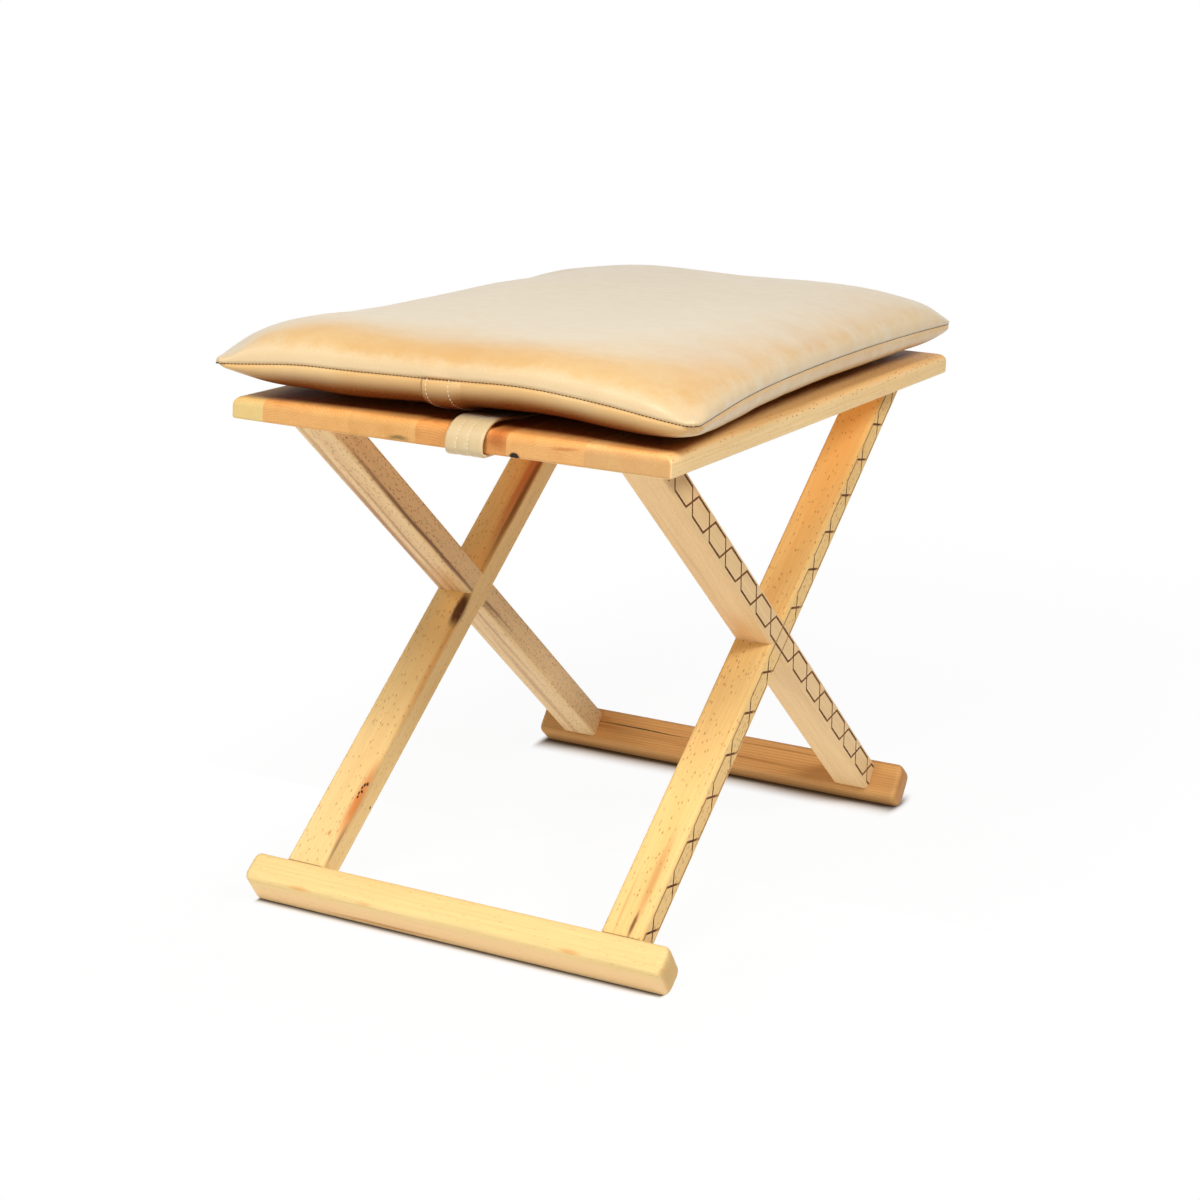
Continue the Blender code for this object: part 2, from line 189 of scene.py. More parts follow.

# Painted shade on the leather underneath, for the shadow between cushion and board: the rise at which it
# starts, its run, and how light it stays at the right side
DARK_START = -0.05
DARK_RUN = 0.56
LIGHT_SIDE = 0.85

# Stitches: pitch, length, radius of the thread, and how far the ends dip into the leather
HEM_STITCH = (0.0038, 0.0026, 0.00034, 0.0005)
SEAM_STITCH = (0.0030, 0.0024, 0.00040, 0.0005)
STRAP_STITCH = (0.0034, 0.0025, 0.00030, 0.0005)

# Camera of the photograph, worked out from the frame's corners
CAMERA_EYE = (0.9048, -1.8748, 0.7695)
CAMERA_AZIMUTH = math.radians(26.1139)
CAMERA_TILT = math.radians(12.3220)
CAMERA_ROLL = math.radians(2.4321)
PICTURE_SIZE = 1200.0
FOCAL_PIXELS = 2488.41
PRINCIPAL_ROW = 500.0

# How much of the floor's light on the stool is its own even glow, painted bounce light past the stool's own
# shadow, and how far from the stool the white paper starts and stops fading into the dark of the studio
FLOOR_GLOW = 0.85
PAPER_FADE = (1.20, 2.00)

# Painted shadow on the floor beside the foot rails: how fast it ends past their ends, and how near it counts
# behind
SHADE_END = 4.0
SHADE_BEHIND = 0.36

# Ray flecks: how closely they lie across and along the grain, the edge of one, and the share left out
FINE_FLECKS = ((880, 880, 205), (0.36, 0.18), 0.30)
DASH_FLECKS = ((420, 420, 140), (0.30, 0.14), 0.10)

# Burnt line, where it was passed over twice and once, and the painted shade line in the joint above a foot
# rail
BURNT = (0.120, 0.038, 0.011)
SINGED = (0.260, 0.092, 0.027)
PASSED_ONCE = (0.60, 0.33, 0.115)
JOINT_SHADE = (0.10, 0.040, 0.014)

# Leather's shine: the pale colour painted in where it is seen aslant, a painted sheen, then its clear coat
# and its gloss
SHEEN = (0.735, 0.675, 0.535)
COAT = 0.30
GLOSS = 0.5


def foot_joint_height(lean):
    """Height of the middle of a leg's lower end, on a rail that stands on its planed lower edge."""
    sine, cosine = math.sin(lean), math.cos(lean)
    return BAR_THICKNESS * cosine + BAR_WIDTH / 2 * sine - SOLE_WIDTH * sine * cosine


def leg_lean():
    """Lean from upright at which each leg ends straight below the top of the leg that it crosses."""
    lean = math.pi / 4
    for _ in range(40):
        lean = math.atan2(2 * LEG_TOP_Y, SEAT_UNDERSIDE - foot_joint_height(lean))
    return lean


RAIL_GRAIN = Matrix.Rotation(math.pi / 2, 4, "Y")
LEAN = leg_lean()
CROSS_HEIGHT = (SEAT_UNDERSIDE + foot_joint_height(LEAN)) / 2
HALF_LEG = (SEAT_UNDERSIDE - CROSS_HEIGHT) / math.cos(LEAN)


def leg_place(side, foot):
    """A leg's own frame: its origin at the crossing, Z up along the leg, X across it."""
    x = LEG_X if side == "right" else -LEG_X
    lean = LEAN if foot == "back" else -LEAN
    return Matrix.Translation((x, 0, CROSS_HEIGHT)) @ Matrix.Rotation(lean, 4, "X")


def rail_place(foot):
    """A rail's own frame, square to its legs, with its origin where their lower ends meet it."""
    back = 1 if foot == "back" else -1
    place = Matrix.Translation((0, back * LEG_TOP_Y, foot_joint_height(LEAN)))
    return place @ Matrix.Rotation(back * LEAN, 4, "X")


# Short calls for node trees


def feed(tree, socket, value):
    """Give an input its value, or link another node's output to it."""
    if isinstance(value, bpy.types.NodeSocket):
        tree.links.new(value, socket)
    else:
        socket.default_value = value


def put(tree, kind, settings=None, **inputs):
    """Add a node, with its settings and its inputs as values or as sockets to link."""
    node = tree.nodes.new(kind)
    for key, value in (settings or {}).items():
        setattr(node, key, value)
    for key, value in inputs.items():
        feed(tree, node.inputs[key.replace("_", " ")], value)
    return node


def figure(tree, operation, *operands):
    """A Math node's result."""
    node = put(tree, "ShaderNodeMath", {"operation": operation})
    for socket, value in zip(node.inputs, operands):
        feed(tree, socket, value)
    return node.outputs[0]


def vector_figure(tree, operation, *operands):
    """A Vector Math node, fed in order."""
    node = put(tree, "ShaderNodeVectorMath", {"operation": operation})
    for socket, value in zip(node.inputs, operands):
        feed(tree, socket, value)
    return node


def tinted(tree, share, under, over, blend="MIX"):
    """Two colours mixed by a share."""
    node = put(tree, "ShaderNodeMix", {"data_type": "RGBA", "blend_type": blend})
    for socket, value in ((node.inputs[0], share), (node.inputs[6], under), (node.inputs[7], over)):
        feed(tree, socket, (*value, 1.0) if isinstance(value, tuple) else value)
    return node.outputs[2]


def grey(tree, level):
    """A grey of a level from 0 to 1."""
    return put(tree, "ShaderNodeCombineColor", Red=level, Green=level, Blue=level).outputs[0]


def eased(tree, value, low, high, start=0.0, end=1.0):
    """A value eased from start at low to end at high."""
    node = put(
        tree, "ShaderNodeMapRange", {"interpolation_type": "SMOOTHSTEP"},
        Value=value, From_Min=low, From_Max=high, To_Min=start, To_Max=end,
    )
    return node.outputs["Result"]


def placed(tree, vector, scale=(1, 1, 1), location=(0, 0, 0), rotation=(0, 0, 0)):
    """Coordinates scaled, turned and moved."""
    node = put(tree, "ShaderNodeMapping", Vector=vector, Scale=scale, Location=location, Rotation=rotation)
    return node.outputs["Vector"]


def cloud(tree, vector, scale, detail=3.0, roughness=0.5):
    """Smooth noise, as a value and as a colour."""
    return put(tree, "ShaderNodeTexNoise", Vector=vector, Scale=scale, Detail=detail, Roughness=roughness)


def along_stick(tree, coords, place):
    """Coordinates in a stick's own frame."""
    inverse = place.inverted()
    return placed(tree, coords, location=inverse.translation, rotation=inverse.to_euler())


def embossed(tree, shader, strength, depth, height):
    """Fine relief on a finish."""
    bump = put(tree, "ShaderNodeBump", Strength=strength, Distance=depth, Height=height)
    tree.links.new(bump.outputs["Normal"], shader.inputs["Normal"])


def finish(name):
    """A new material with its tree, its shader and the object's coordinates."""
    made = bpy.data.materials.new(name)
    made.use_nodes = True
    tree = made.node_tree
    return made, tree, tree.nodes["Principled BSDF"], put(tree, "ShaderNodeTexCoord").outputs["Object"]


# Finishes


def marked(tree, colour, places, fibre, marks):
    """Heart streaks, stains, knots and painted shade and light laid over a colour, ragged along the fibres.
    """
    for centre, half, tint, strength, softness in marks:
        scale = tuple(1 / size for size in half)
        moved = tuple(-spot * by for spot, by in zip(centre, scale))
        reach = vector_figure(tree, "LENGTH", placed(tree, places, scale, moved)).outputs["Value"]
        ragged = figure(tree, "MULTIPLY_ADD", fibre, 0.5, reach)
        mask = eased(tree, ragged, 1.25, 1.25 - softness, 0.0, strength)
        colour = tinted(tree, mask, colour, tint)
    return colour


def ray_flecks(tree, local, seed, size, dashes):
    """Where the ray flecks lie, as short dashes or as fine specks."""
    cells, edge, missing = DASH_FLECKS if dashes else FINE_FLECKS
    cell = put(
        tree, "ShaderNodeTexVoronoi", {"feature": "F1"},
        Vector=placed(tree, local, cells, (seed, seed, 0)), Scale=1.0 / size,
    )
    speck = eased(tree, cell.outputs["Distance"], *edge)
    kept = put(tree, "ShaderNodeSeparateColor", Color=cell.outputs["Color"]).outputs["Red"]
    return figure(tree, "MULTIPLY", speck, eased(tree, kept, missing, 0.60))


def beech(
    name, place, pale, dark, pith, seed, rings=0.5, marks=(), flecks=0.45, fleck_colour=(0.52, 0.24, 0.075),
    fleck_size=1.0, end_tint=(0.92, 0.82, 0.70), top_tint=None, dashes=False, joint=None,
):
    """Oiled beech for one stick, with the grain along the stick's own Z.

    Growth rings run round a pith line at (x, y), with fibres, ray flecks and broad changes of tone. Marks
    are heart streaks, stains, knots and patches of painted shade and painted light, each given by its
    centre, half sizes, colour, strength and how soft its edge is.
    A joint is the height along the stick of a thin line of painted shade, where the leg meets its rail.
    """
    made, tree, shader, coords = finish(name)
    local = along_stick(tree, coords, place)
    strayed = placed(tree, local, (38, 38, 7), (seed, 2 * seed, 3 * seed))
    wander = cloud(tree, strayed, 1.0, 2.0).outputs["Color"]
    centred = vector_figure(tree, "SUBTRACT", wander, (0.5, 0.5, 0.5)).outputs[0]
    drifted = vector_figure(tree, "MULTIPLY_ADD", centred, (0.006, 0.006, 0.03), local).outputs[0]

    ring = put(
        tree, "ShaderNodeTexWave", {"wave_type": "RINGS", "rings_direction": "Z"},
        Vector=placed(tree, local, (1, 1, 0.05), (-pith[0], -pith[1], seed)),
        Scale=150.0, Distortion=6.5, Detail=2.5, Detail_Scale=0.3, Detail_Roughness=0.55,
    ).outputs["Fac"]
    late_wood = figure(tree, "POWER", ring, 1.8)
    fibre = cloud(tree, placed(tree, local, (620, 620, 15), (seed, 0, 0)), 1.0, 3.0, 0.6).outputs["Fac"]
    band = cloud(tree, placed(tree, local, (60, 60, 3.0), (0, seed, 0)), 1.0, 3.0, 0.55).outputs["Fac"]

    colour = tinted(tree, figure(tree, "MULTIPLY", late_wood, rings), pale, dark)
    colour = tinted(tree, eased(tree, band, 0.45, 0.75, 0.0, 0.38), colour, dark)
    light = tuple(min(1.0, 1.05 * part + 0.03) for part in pale)
    colour = tinted(tree, eased(tree, band, 0.45, 0.25, 0.0, 0.5), colour, light)
    shade = eased(tree, fibre, 0.25, 0.75, 0.93, 1.04)
    colour = tinted(tree, 1.0, colour, grey(tree, shade), "MULTIPLY")
    colour = marked(tree, colour, drifted, fibre, marks)

    # Flecks show on the long faces, and thicker in some bands than in others
    normal = put(tree, "ShaderNodeNewGeometry").outputs["Normal"]
    grain_way = place.to_3x3() @ Vector((0, 0, 1))
    facing = vector_figure(tree, "DOT_PRODUCT", normal, grain_way).outputs["Value"]
    endways = figure(tree, "ABSOLUTE", facing)
    thick = eased(tree, band, 0.30, 0.62, 0.45, 1.0)
    shown = figure(tree, "MULTIPLY", thick, eased(tree, endways, 0.80, 0.40))
    fleck = figure(tree, "MULTIPLY", ray_flecks(tree, local, seed, fleck_size, dashes), shown)
    colour = tinted(tree, figure(tree, "MULTIPLY", fleck, flecks), colour, fleck_colour)

    # A thin line of painted shade where the leg meets its foot rail
    if joint is not None:
        along = put(tree, "ShaderNodeSeparateXYZ", Vector=local).outputs["Z"]
        from_joint = figure(tree, "ABSOLUTE", figure(tree, "SUBTRACT", along, joint))
        colour = tinted(tree, eased(tree, from_joint, 0.0016, 0.0006, 0.0, 0.8), colour, JOINT_SHADE)

    # The sawn ends drink more oil and go darker
    end_grain = eased(tree, endways, 0.55, 0.95, 0.0, 0.75)
    colour = tinted(tree, end_grain, colour, tinted(tree, 1.0, colour, end_tint, "MULTIPLY"))
    # Upward faces take a deeper orange tint: painted shade, for the cushion's shadow on the board's top
    if top_tint:
        upward = eased(tree, put(tree, "ShaderNodeSeparateXYZ", Vector=normal).outputs["Z"], 0.30, 0.90)
        colour = tinted(tree, upward, colour, tinted(tree, 1.0, colour, top_tint, "MULTIPLY"))
    tree.links.new(colour, shader.inputs["Base Color"])

    rough = eased(tree, fibre, 0.2, 0.8, 0.54, 0.44)
    tree.links.new(rough, shader.inputs["Roughness"])
    shader.inputs["Specular IOR Level"].default_value = 0.16
    relief = figure(tree, "MULTIPLY_ADD", fleck, -0.8, figure(tree, "MULTIPLY_ADD", late_wood, 0.15, fibre))
    embossed(tree, shader, 0.16, 0.0004, relief)
    return made


def scorched_groove(name, place, faint):
    """A leg's carved line, burnt brown: darkest in the middle, where it was passed over twice."""
    made, tree, shader, coords = finish(name)
    local = put(tree, "ShaderNodeSeparateXYZ", Vector=along_stick(tree, coords, place))
    across = figure(tree, "ABSOLUTE", local.outputs["Y"])
    patchy = cloud(tree, coords, 260.0, 3.0).outputs["Fac"]
    colour = tinted(tree, eased(tree, patchy, 0.35, 0.68), BURNT, SINGED)
    once = eased(tree, across, 0.55 * CHAIN_HALF_WIDTH, 0.95 * CHAIN_HALF_WIDTH, 0.0, faint)
    colour = tinted(tree, once, colour, PASSED_ONCE)
    tree.links.new(colour, shader.inputs["Base Color"])
    tree.links.new(eased(tree, patchy, 0.3, 0.7, 0.85, 0.68), shader.inputs["Roughness"])
    embossed(tree, shader, 0.3, 0.0003, patchy)
    return made


def tan_leather(name, colour, deep, pale, grain=1.0, seam_highlight=None, under=None):
    """Semi-gloss tan leather with a fine pebble, cloudy tone and small creases.

    Where the mesh carries how far it rises from the seam, a patchy band just above the seam and the crown
    are painted paler, as painted highlights, and the underside goes dark, as painted shade, and dull towards
    the board. Seen aslant, the colour turns paler, a painted sheen.
    """
    made, tree, shader, coords = finish(name)
    broad = cloud(tree, coords, 7.0, 3.0, 0.55).outputs["Fac"]
    mottle = cloud(tree, coords, 85.0, 4.0, 0.6).outputs["Fac"]
    pebble = put(
        tree, "ShaderNodeTexVoronoi", {"feature": "SMOOTH_F1"}, Vector=coords, Scale=780.0, Smoothness=0.6,
    )
    crease = put(
        tree, "ShaderNodeTexVoronoi", {"feature": "DISTANCE_TO_EDGE"},
        Vector=placed(tree, coords, (1, 0.7, 1)), Scale=330.0,
    )
    shade = tinted(tree, eased(tree, broad, 0.40, 0.70, 0.0, 0.55), colour, deep)
    shade = tinted(tree, eased(tree, broad, 0.48, 0.25, 0.0, 0.5), shade, pale)
    shade = tinted(tree, eased(tree, mottle, 0.35, 0.75, 0.0, 0.22), shade, deep)
    if seam_highlight:
        rise = put(tree, "ShaderNodeAttribute", {"attribute_name": "rise"}).outputs["Fac"]
        # A pale, patchy band just above the seam: a painted highlight
        ragged_rise = figure(tree, "MULTIPLY_ADD", mottle, 0.35, figure(tree, "MULTIPLY_ADD", broad, 0.3, rise))
        near_seam = figure(tree, "MULTIPLY", eased(tree, ragged_rise, 0.95, 0.62), eased(tree, rise, -0.02, 0.05))
        shade = tinted(tree, figure(tree, "MULTIPLY", near_seam, 0.75), shade, seam_highlight)
        # A paler crown on top: a painted highlight
        painted_top_highlight = eased(tree, rise, 0.86, 0.99, 0.0, 0.55)
        shade = tinted(tree, painted_top_highlight, shade, pale)
        # Darker towards the board underneath: painted shade
        beneath = put(tree, "ShaderNodeAttribute", {"attribute_name": "beneath"}).outputs["Fac"]
        shade = tinted(tree, beneath, shade, under)
    valley = eased(tree, crease.outputs["Distance"], 0.06, 0.0, 0.0, 0.22)
    shade = tinted(tree, valley, shade, deep)
    # Paler where the leather is seen aslant: a painted sheen
    slant = put(tree, "ShaderNodeLayerWeight", Blend=0.5).outputs["Facing"]
    sheen = eased(tree, slant, 0.58, 0.84, 0.0, 0.62)
    coat = COAT
    gloss = GLOSS
    if seam_highlight:
        sheen = figure(tree, "MULTIPLY", sheen, eased(tree, rise, -0.50, -0.10))
        coat = eased(tree, rise, -0.50, -0.10, 0.0, COAT)
        gloss = eased(tree, rise, -0.55, -0.12, 0.05, GLOSS)
    shade = tinted(tree, sheen, shade, SHEEN)
    tree.links.new(shade, shader.inputs["Base Color"])
    tree.links.new(eased(tree, mottle, 0.25, 0.75, 0.36, 0.50), shader.inputs["Roughness"])
    feed(tree, shader.inputs["Coat Weight"], coat)
    feed(tree, shader.inputs["Specular IOR Level"], gloss)
    shader.inputs["Coat Roughness"].default_value = 0.36
    height = figure(tree, "MULTIPLY_ADD", valley, -1.2, pebble.outputs["Distance"])
    height = figure(tree, "MULTIPLY_ADD", mottle, 0.8, height)
    embossed(tree, shader, 0.15 * grain, 0.0005, height)
    return made


def thread(name, colour, deep):
    """Waxed sewing thread, twisted and a little uneven in colour."""
    made, tree, shader, coords = finish(name)
    twist = cloud(tree, coords, 1600.0, 2.0).outputs["Fac"]
    tree.links.new(tinted(tree, twist, colour, deep), shader.inputs["Base Color"])
    shader.inputs["Roughness"].default_value = 0.85
    shader.inputs["Specular IOR Level"].default_value = 0.10
    embossed(tree, shader, 0.4, 0.0002, twist)
    return made


def brushed_brass():
    """Snap stud brass with dull patches."""
    made, tree, shader, coords = finish("brushed_brass")
    dull = cloud(tree, coords, 420.0, 3.0).outputs["Fac"]
    tree.links.new(tinted(tree, dull, (0.72, 0.52, 0.24), (0.48, 0.32, 0.13)), shader.inputs["Base Color"])
    tree.links.new(eased(tree, dull, 0.3, 0.7, 0.26, 0.44), shader.inputs["Roughness"])
    shader.inputs["Metallic"].default_value = 1.0
    return made


# Making meshes


def made_piece(name, mesh, *finishes):
    """A linked object at the origin, with its finishes in order."""
    made = bpy.data.objects.new(name, mesh)
    bpy.context.scene.collection.objects.link(made)
    mesh.materials.clear()
    for each in finishes:
        mesh.materials.append(each)
    return made


def from_bmesh(name, shape, *finishes):
    """A linked object from a shape, which is freed."""
    mesh = bpy.data.meshes.new(name)
    shape.normal_update()
    shape.to_mesh(mesh)
    shape.free()
    return made_piece(name, mesh, *finishes)


def settle(piece):
    """Turn a piece with its modifiers into a plain mesh."""
    graph = bpy.context.evaluated_depsgraph_get()
    plain = bpy.data.meshes.new_from_object(piece.evaluated_get(graph), depsgraph=graph)
    old = piece.data
    piece.modifiers.clear()
    piece.data = plain
    bpy.data.meshes.remove(old)
    return piece


def smooth_planes(piece, angle=math.radians(32)):
    """Smooth shading that keeps flat faces flat and sharp arrises sharp."""
    piece.data.shade_smooth()
    piece.data.set_sharp_from_angle(angle=angle)
    weighted = piece.modifiers.new("flat_faces", "WEIGHTED_NORMAL")
    weighted.keep_sharp = True
    weighted.weight = 90
    return settle(piece)


def subtract(piece, tool):
    """Cut a tool's shape out of a piece and drop the tool. Cut faces take the tool's finish."""
    cut = piece.modifiers.new(tool.name, "BOOLEAN")
    cut.operation = "DIFFERENCE"
    cut.solver = "EXACT"
    cut.material_mode = "TRANSFER"
    cut.object = tool
    settle(piece)
    mesh = tool.data
    bpy.data.objects.remove(tool)
    bpy.data.meshes.remove(mesh)


def slice_off(shape, point, normal):
    """Cut away what lies past a plane, on the side that its normal points to, and close the cut."""
    everything = shape.verts[:] + shape.edges[:] + shape.faces[:]
    made = bmesh.ops.bisect_plane(shape, geom=everything, plane_co=point, plane_no=normal, clear_outer=True)
    rim = [item for item in made["geom_cut"] if isinstance(item, bmesh.types.BMEdge)]
    bmesh.ops.edgeloop_fill(shape, edges=rim)
    bmesh.ops.recalc_face_normals(shape, faces=shape.faces[:])


def rounded_outline(half_x, half_y, radius, steps=5):
    """Points round a rectangle with rounded corners."""
    points = []
    for quarter, (sign_x, sign_y) in enumerate(((1, 1), (-1, 1), (-1, -1), (1, -1))):
        for step in range(steps + 1):
            angle = (quarter + step / steps) * math.pi / 2
            x = sign_x * (half_x - radius) + radius * math.cos(angle)
            y = sign_y * (half_y - radius) + radius * math.sin(angle)
            points.append((x, y))
    return points


def round_levels(low, high, low_round, high_round, steps=7):
    """(inset, height) pairs for a side that rounds over into the faces at both ends."""
    settled = 0.0012
    levels = [(low_round + settled, low)]
    for step in range(steps + 1):
        angle = step / steps * math.pi / 2
        levels.append((low_round * (1 - math.sin(angle)), low + low_round * (1 - math.cos(angle))))
    for step in range(steps + 1):
        angle = step / steps * math.pi / 2
        levels.append((high_round * (1 - math.cos(angle)), high - high_round * (1 - math.sin(angle))))
    levels.append((high_round + settled, high))
    return levels


def skin(shape, rings):
    """Faces between rings of points, with one over each end."""
    count = len(rings[0])
    for ring, after in zip(rings, rings[1:]):
        for first in range(count):
            second = (first + 1) % count
            shape.faces.new((ring[first], ring[second], after[second], after[first]))
    shape.faces.new(rings[0][::-1])
    shape.faces.new(rings[-1])
    bmesh.ops.recalc_face_normals(shape, faces=shape.faces[:])


def stacked_block(half_x, half_y, corner, levels, place):
    """A closed block of rounded rectangles, one at each level, placed in the frame."""
    shape = bmesh.new()
    rings = []
    for inset, height in levels:
        radius = min(corner, 0.95 * (min(half_x, half_y) - inset))
        outline = rounded_outline(half_x - inset, half_y - inset, radius)
        rings.append([shape.verts.new(place @ Vector((x, y, height))) for x, y in outline])
    skin(shape, rings)
    return shape


# Node trees for what repeats


def new_tree(name, inputs):
    """A Geometry Nodes tree with named inputs. Returns the tree, its input sockets and their identifiers."""
    tree = bpy.data.node_groups.new(name, "GeometryNodeTree")
    tree.interface.new_socket("Geometry", in_out="OUTPUT", socket_type="NodeSocketGeometry")
    identifiers = {}
    for label, kind in inputs:
        identifiers[label] = tree.interface.new_socket(label, in_out="INPUT", socket_type=kind).identifier
    entry = tree.nodes.new("NodeGroupInput")
    return tree, {label: entry.outputs[label] for label, _ in inputs}, identifiers


def close_tree(tree, geometry, finish_socket):
    """End a tree in real geometry with its finish."""
    real = put(tree, "GeometryNodeRealizeInstances", Geometry=geometry)
    dressed = put(tree, "GeometryNodeSetMaterial", Geometry=real.outputs[0], Material=finish_socket)
    leave = tree.nodes.new("NodeGroupOutput")
    tree.links.new(dressed.outputs[0], leave.inputs[0])


def chain_tree():
    """One zigzag of the carved chain, as a tube to cut with, in the leg's own YZ plane."""
    tree, given, names = new_tree("carved_chain", (
        ("Period", "NodeSocketFloat"), ("Straight", "NodeSocketFloat"), ("Half width", "NodeSocketFloat"),
        ("Points up", "NodeSocketInt"), ("Points down", "NodeSocketInt"), ("Radius", "NodeSocketFloat"),
        ("Finish", "NodeSocketMaterial"),
    ))
    total = figure(tree, "ADD", given["Points up"], figure(tree, "ADD", given["Points down"], 1.0))
    line = put(tree, "GeometryNodeMeshLine", Count=total)
    index = figure(tree, "SUBTRACT", put(tree, "GeometryNodeInputIndex").outputs[0], given["Points down"])
    steps = figure(tree, "ABSOLUTE", index)
    cell = figure(tree, "FLOOR", figure(tree, "DIVIDE", steps, 2.0))
    part = figure(tree, "SUBTRACT", steps, figure(tree, "MULTIPLY", cell, 2.0))
    within = figure(tree, "MULTIPLY", part, given["Straight"])
    away = figure(tree, "MULTIPLY_ADD", cell, given["Period"], within)
    along = figure(tree, "MULTIPLY", away, figure(tree, "SIGN", index))
    turnabout = figure(tree, "COSINE", figure(tree, "MULTIPLY", cell, math.pi))
    across = figure(tree, "MULTIPLY", turnabout, given["Half width"])
    spot = put(tree, "ShaderNodeCombineXYZ", X=0.0, Y=across, Z=along)
    moved = put(tree, "GeometryNodeSetPosition", Geometry=line.outputs[0], Position=spot.outputs[0])
    path = put(tree, "GeometryNodeMeshToCurve", Mesh=moved.outputs[0])
    section = put(tree, "GeometryNodeCurvePrimitiveCircle", Resolution=8, Radius=given["Radius"])
    tube = put(
        tree, "GeometryNodeCurveToMesh",
        Curve=path.outputs[0], Profile_Curve=section.outputs["Curve"], Fill_Caps=True,
    )
    close_tree(tree, tube.outputs[0], given["Finish"])
    return tree, names


def stitch_tree():
    """A row of stitches along a line of points that carry the surface's direction as lay."""
    tree, given, names = new_tree("stitch_row", (
        ("Line", "NodeSocketGeometry"), ("Pitch", "NodeSocketFloat"), ("Length", "NodeSocketFloat"),
        ("Radius", "NodeSocketFloat"), ("Rise", "NodeSocketFloat"), ("Finish", "NodeSocketMaterial"),
    ))
    half = figure(tree, "DIVIDE", given["Length"], 2.0)
    start = put(tree, "ShaderNodeCombineXYZ", X=figure(tree, "MULTIPLY", half, -1.0), Y=0.0, Z=0.0)
    stop = put(tree, "ShaderNodeCombineXYZ", X=half, Y=0.0, Z=0.0)
    bar = put(tree, "GeometryNodeCurvePrimitiveLine", Start=start.outputs[0], End=stop.outputs[0])
    jointed = put(tree, "GeometryNodeResampleCurve", {"mode": "COUNT"}, Curve=bar.outputs[0], Count=6)
    place = put(tree, "ShaderNodeSeparateXYZ", Vector=put(tree, "GeometryNodeInputPosition").outputs[0])
    share = figure(tree, "DIVIDE", place.outputs["X"], half)
    drop = figure(tree, "MULTIPLY", figure(tree, "MULTIPLY", share, share), given["Rise"])
    lift = put(tree, "ShaderNodeCombineXYZ", X=0.0, Y=0.0, Z=figure(tree, "MULTIPLY", drop, -1.0))
    bowed = put(tree, "GeometryNodeSetPosition", Geometry=jointed.outputs[0], Offset=lift.outputs[0])
    section = put(tree, "GeometryNodeCurvePrimitiveCircle", Resolution=6, Radius=given["Radius"])
    stitch = put(
        tree, "GeometryNodeCurveToMesh",
        Curve=bowed.outputs[0], Profile_Curve=section.outputs["Curve"], Fill_Caps=True,
    )
    path = put(tree, "GeometryNodeMeshToCurve", Mesh=given["Line"])
    spaced = put(
        tree, "GeometryNodeResampleCurve", {"mode": "LENGTH"}, Curve=path.outputs[0], Length=given["Pitch"],
    )
    lay = put(tree, "GeometryNodeInputNamedAttribute", {"data_type": "FLOAT_VECTOR"}, Name="lay")
    heading = put(
        tree, "FunctionNodeAlignRotationToVector", {"axis": "X"},
        Vector=put(tree, "GeometryNodeInputTangent").outputs[0],
    )
    upright = put(
        tree, "FunctionNodeAlignRotationToVector", {"axis": "Z", "pivot_axis": "X"},
        Rotation=heading.outputs[0], Vector=lay.outputs["Attribute"],
    )
    row = put(
        tree, "GeometryNodeInstanceOnPoints",
        Points=spaced.outputs[0], Instance=stitch.outputs[0], Rotation=upright.outputs[0],
    )
    close_tree(tree, row.outputs[0], given["Finish"])
    return tree, names


CHAIN, CHAIN_NAMES = chain_tree()
STITCHES, STITCH_NAMES = stitch_tree()


def grown(carrier, tree, names, **values):
    """Run a tree on a carrier object and keep its result as a plain mesh."""
    grow = carrier.modifiers.new("grow", "NODES")
    grow.node_group = tree
    for label, value in values.items():
        grow[names[label.replace("_", " ")]] = value
    return settle(carrier)


def carved_tools(side, foot, burnt):
    """The two zigzags of one leg as tubes in place on the leg's outer face."""
    outward = 1 if side == "right" else -1
    face = leg_place(side, foot) @ Matrix.Translation((outward * BAR_WIDTH / 2, 0, 0))
    tools = []
    for mirror in (1, -1):
        carrier = made_piece(f"{side}_{foot}_chain_{mirror}", bpy.data.meshes.new("chain"))
        grown(
            carrier, CHAIN, CHAIN_NAMES, Period=CHAIN_PERIOD, Straight=CHAIN_STRAIGHT,
            Half_width=mirror * CHAIN_HALF_WIDTH, Points_up=CHAIN_POINTS_UP, Points_down=CHAIN_POINTS_DOWN,
            Radius=GROOVE_RADIUS, Finish=burnt,
        )
        carrier.data.transform(face)
        tools.append(carrier)
    return tools


def stitched(name, rows, stitch, twine):
    """Stitches along rows of (point, surface direction) pairs, as one piece."""
    pitch, length, radius, rise = stitch
    points = [tuple(point) for row in rows for point, _ in row]
    ways = [tuple(way) for row in rows for _, way in row]
    edges = []
    start = 0
    for row in rows:
        edges += [(start + step, start + step + 1) for step in range(len(row) - 1)]
        start += len(row)
    mesh = bpy.data.meshes.new(name)
    mesh.from_pydata(points, edges, [])
    lay = mesh.attributes.new("lay", "FLOAT_VECTOR", "POINT")
    lay.data.foreach_set("vector", np.array(ways, np.float32).ravel())
    carrier = made_piece(name, mesh)
    grown(
        carrier, STITCHES, STITCH_NAMES,
        Pitch=pitch, Length=length, Radius=radius, Rise=rise, Finish=twine,
    )
    carrier.data.shade_smooth()
    return carrier


# Frame of the stool


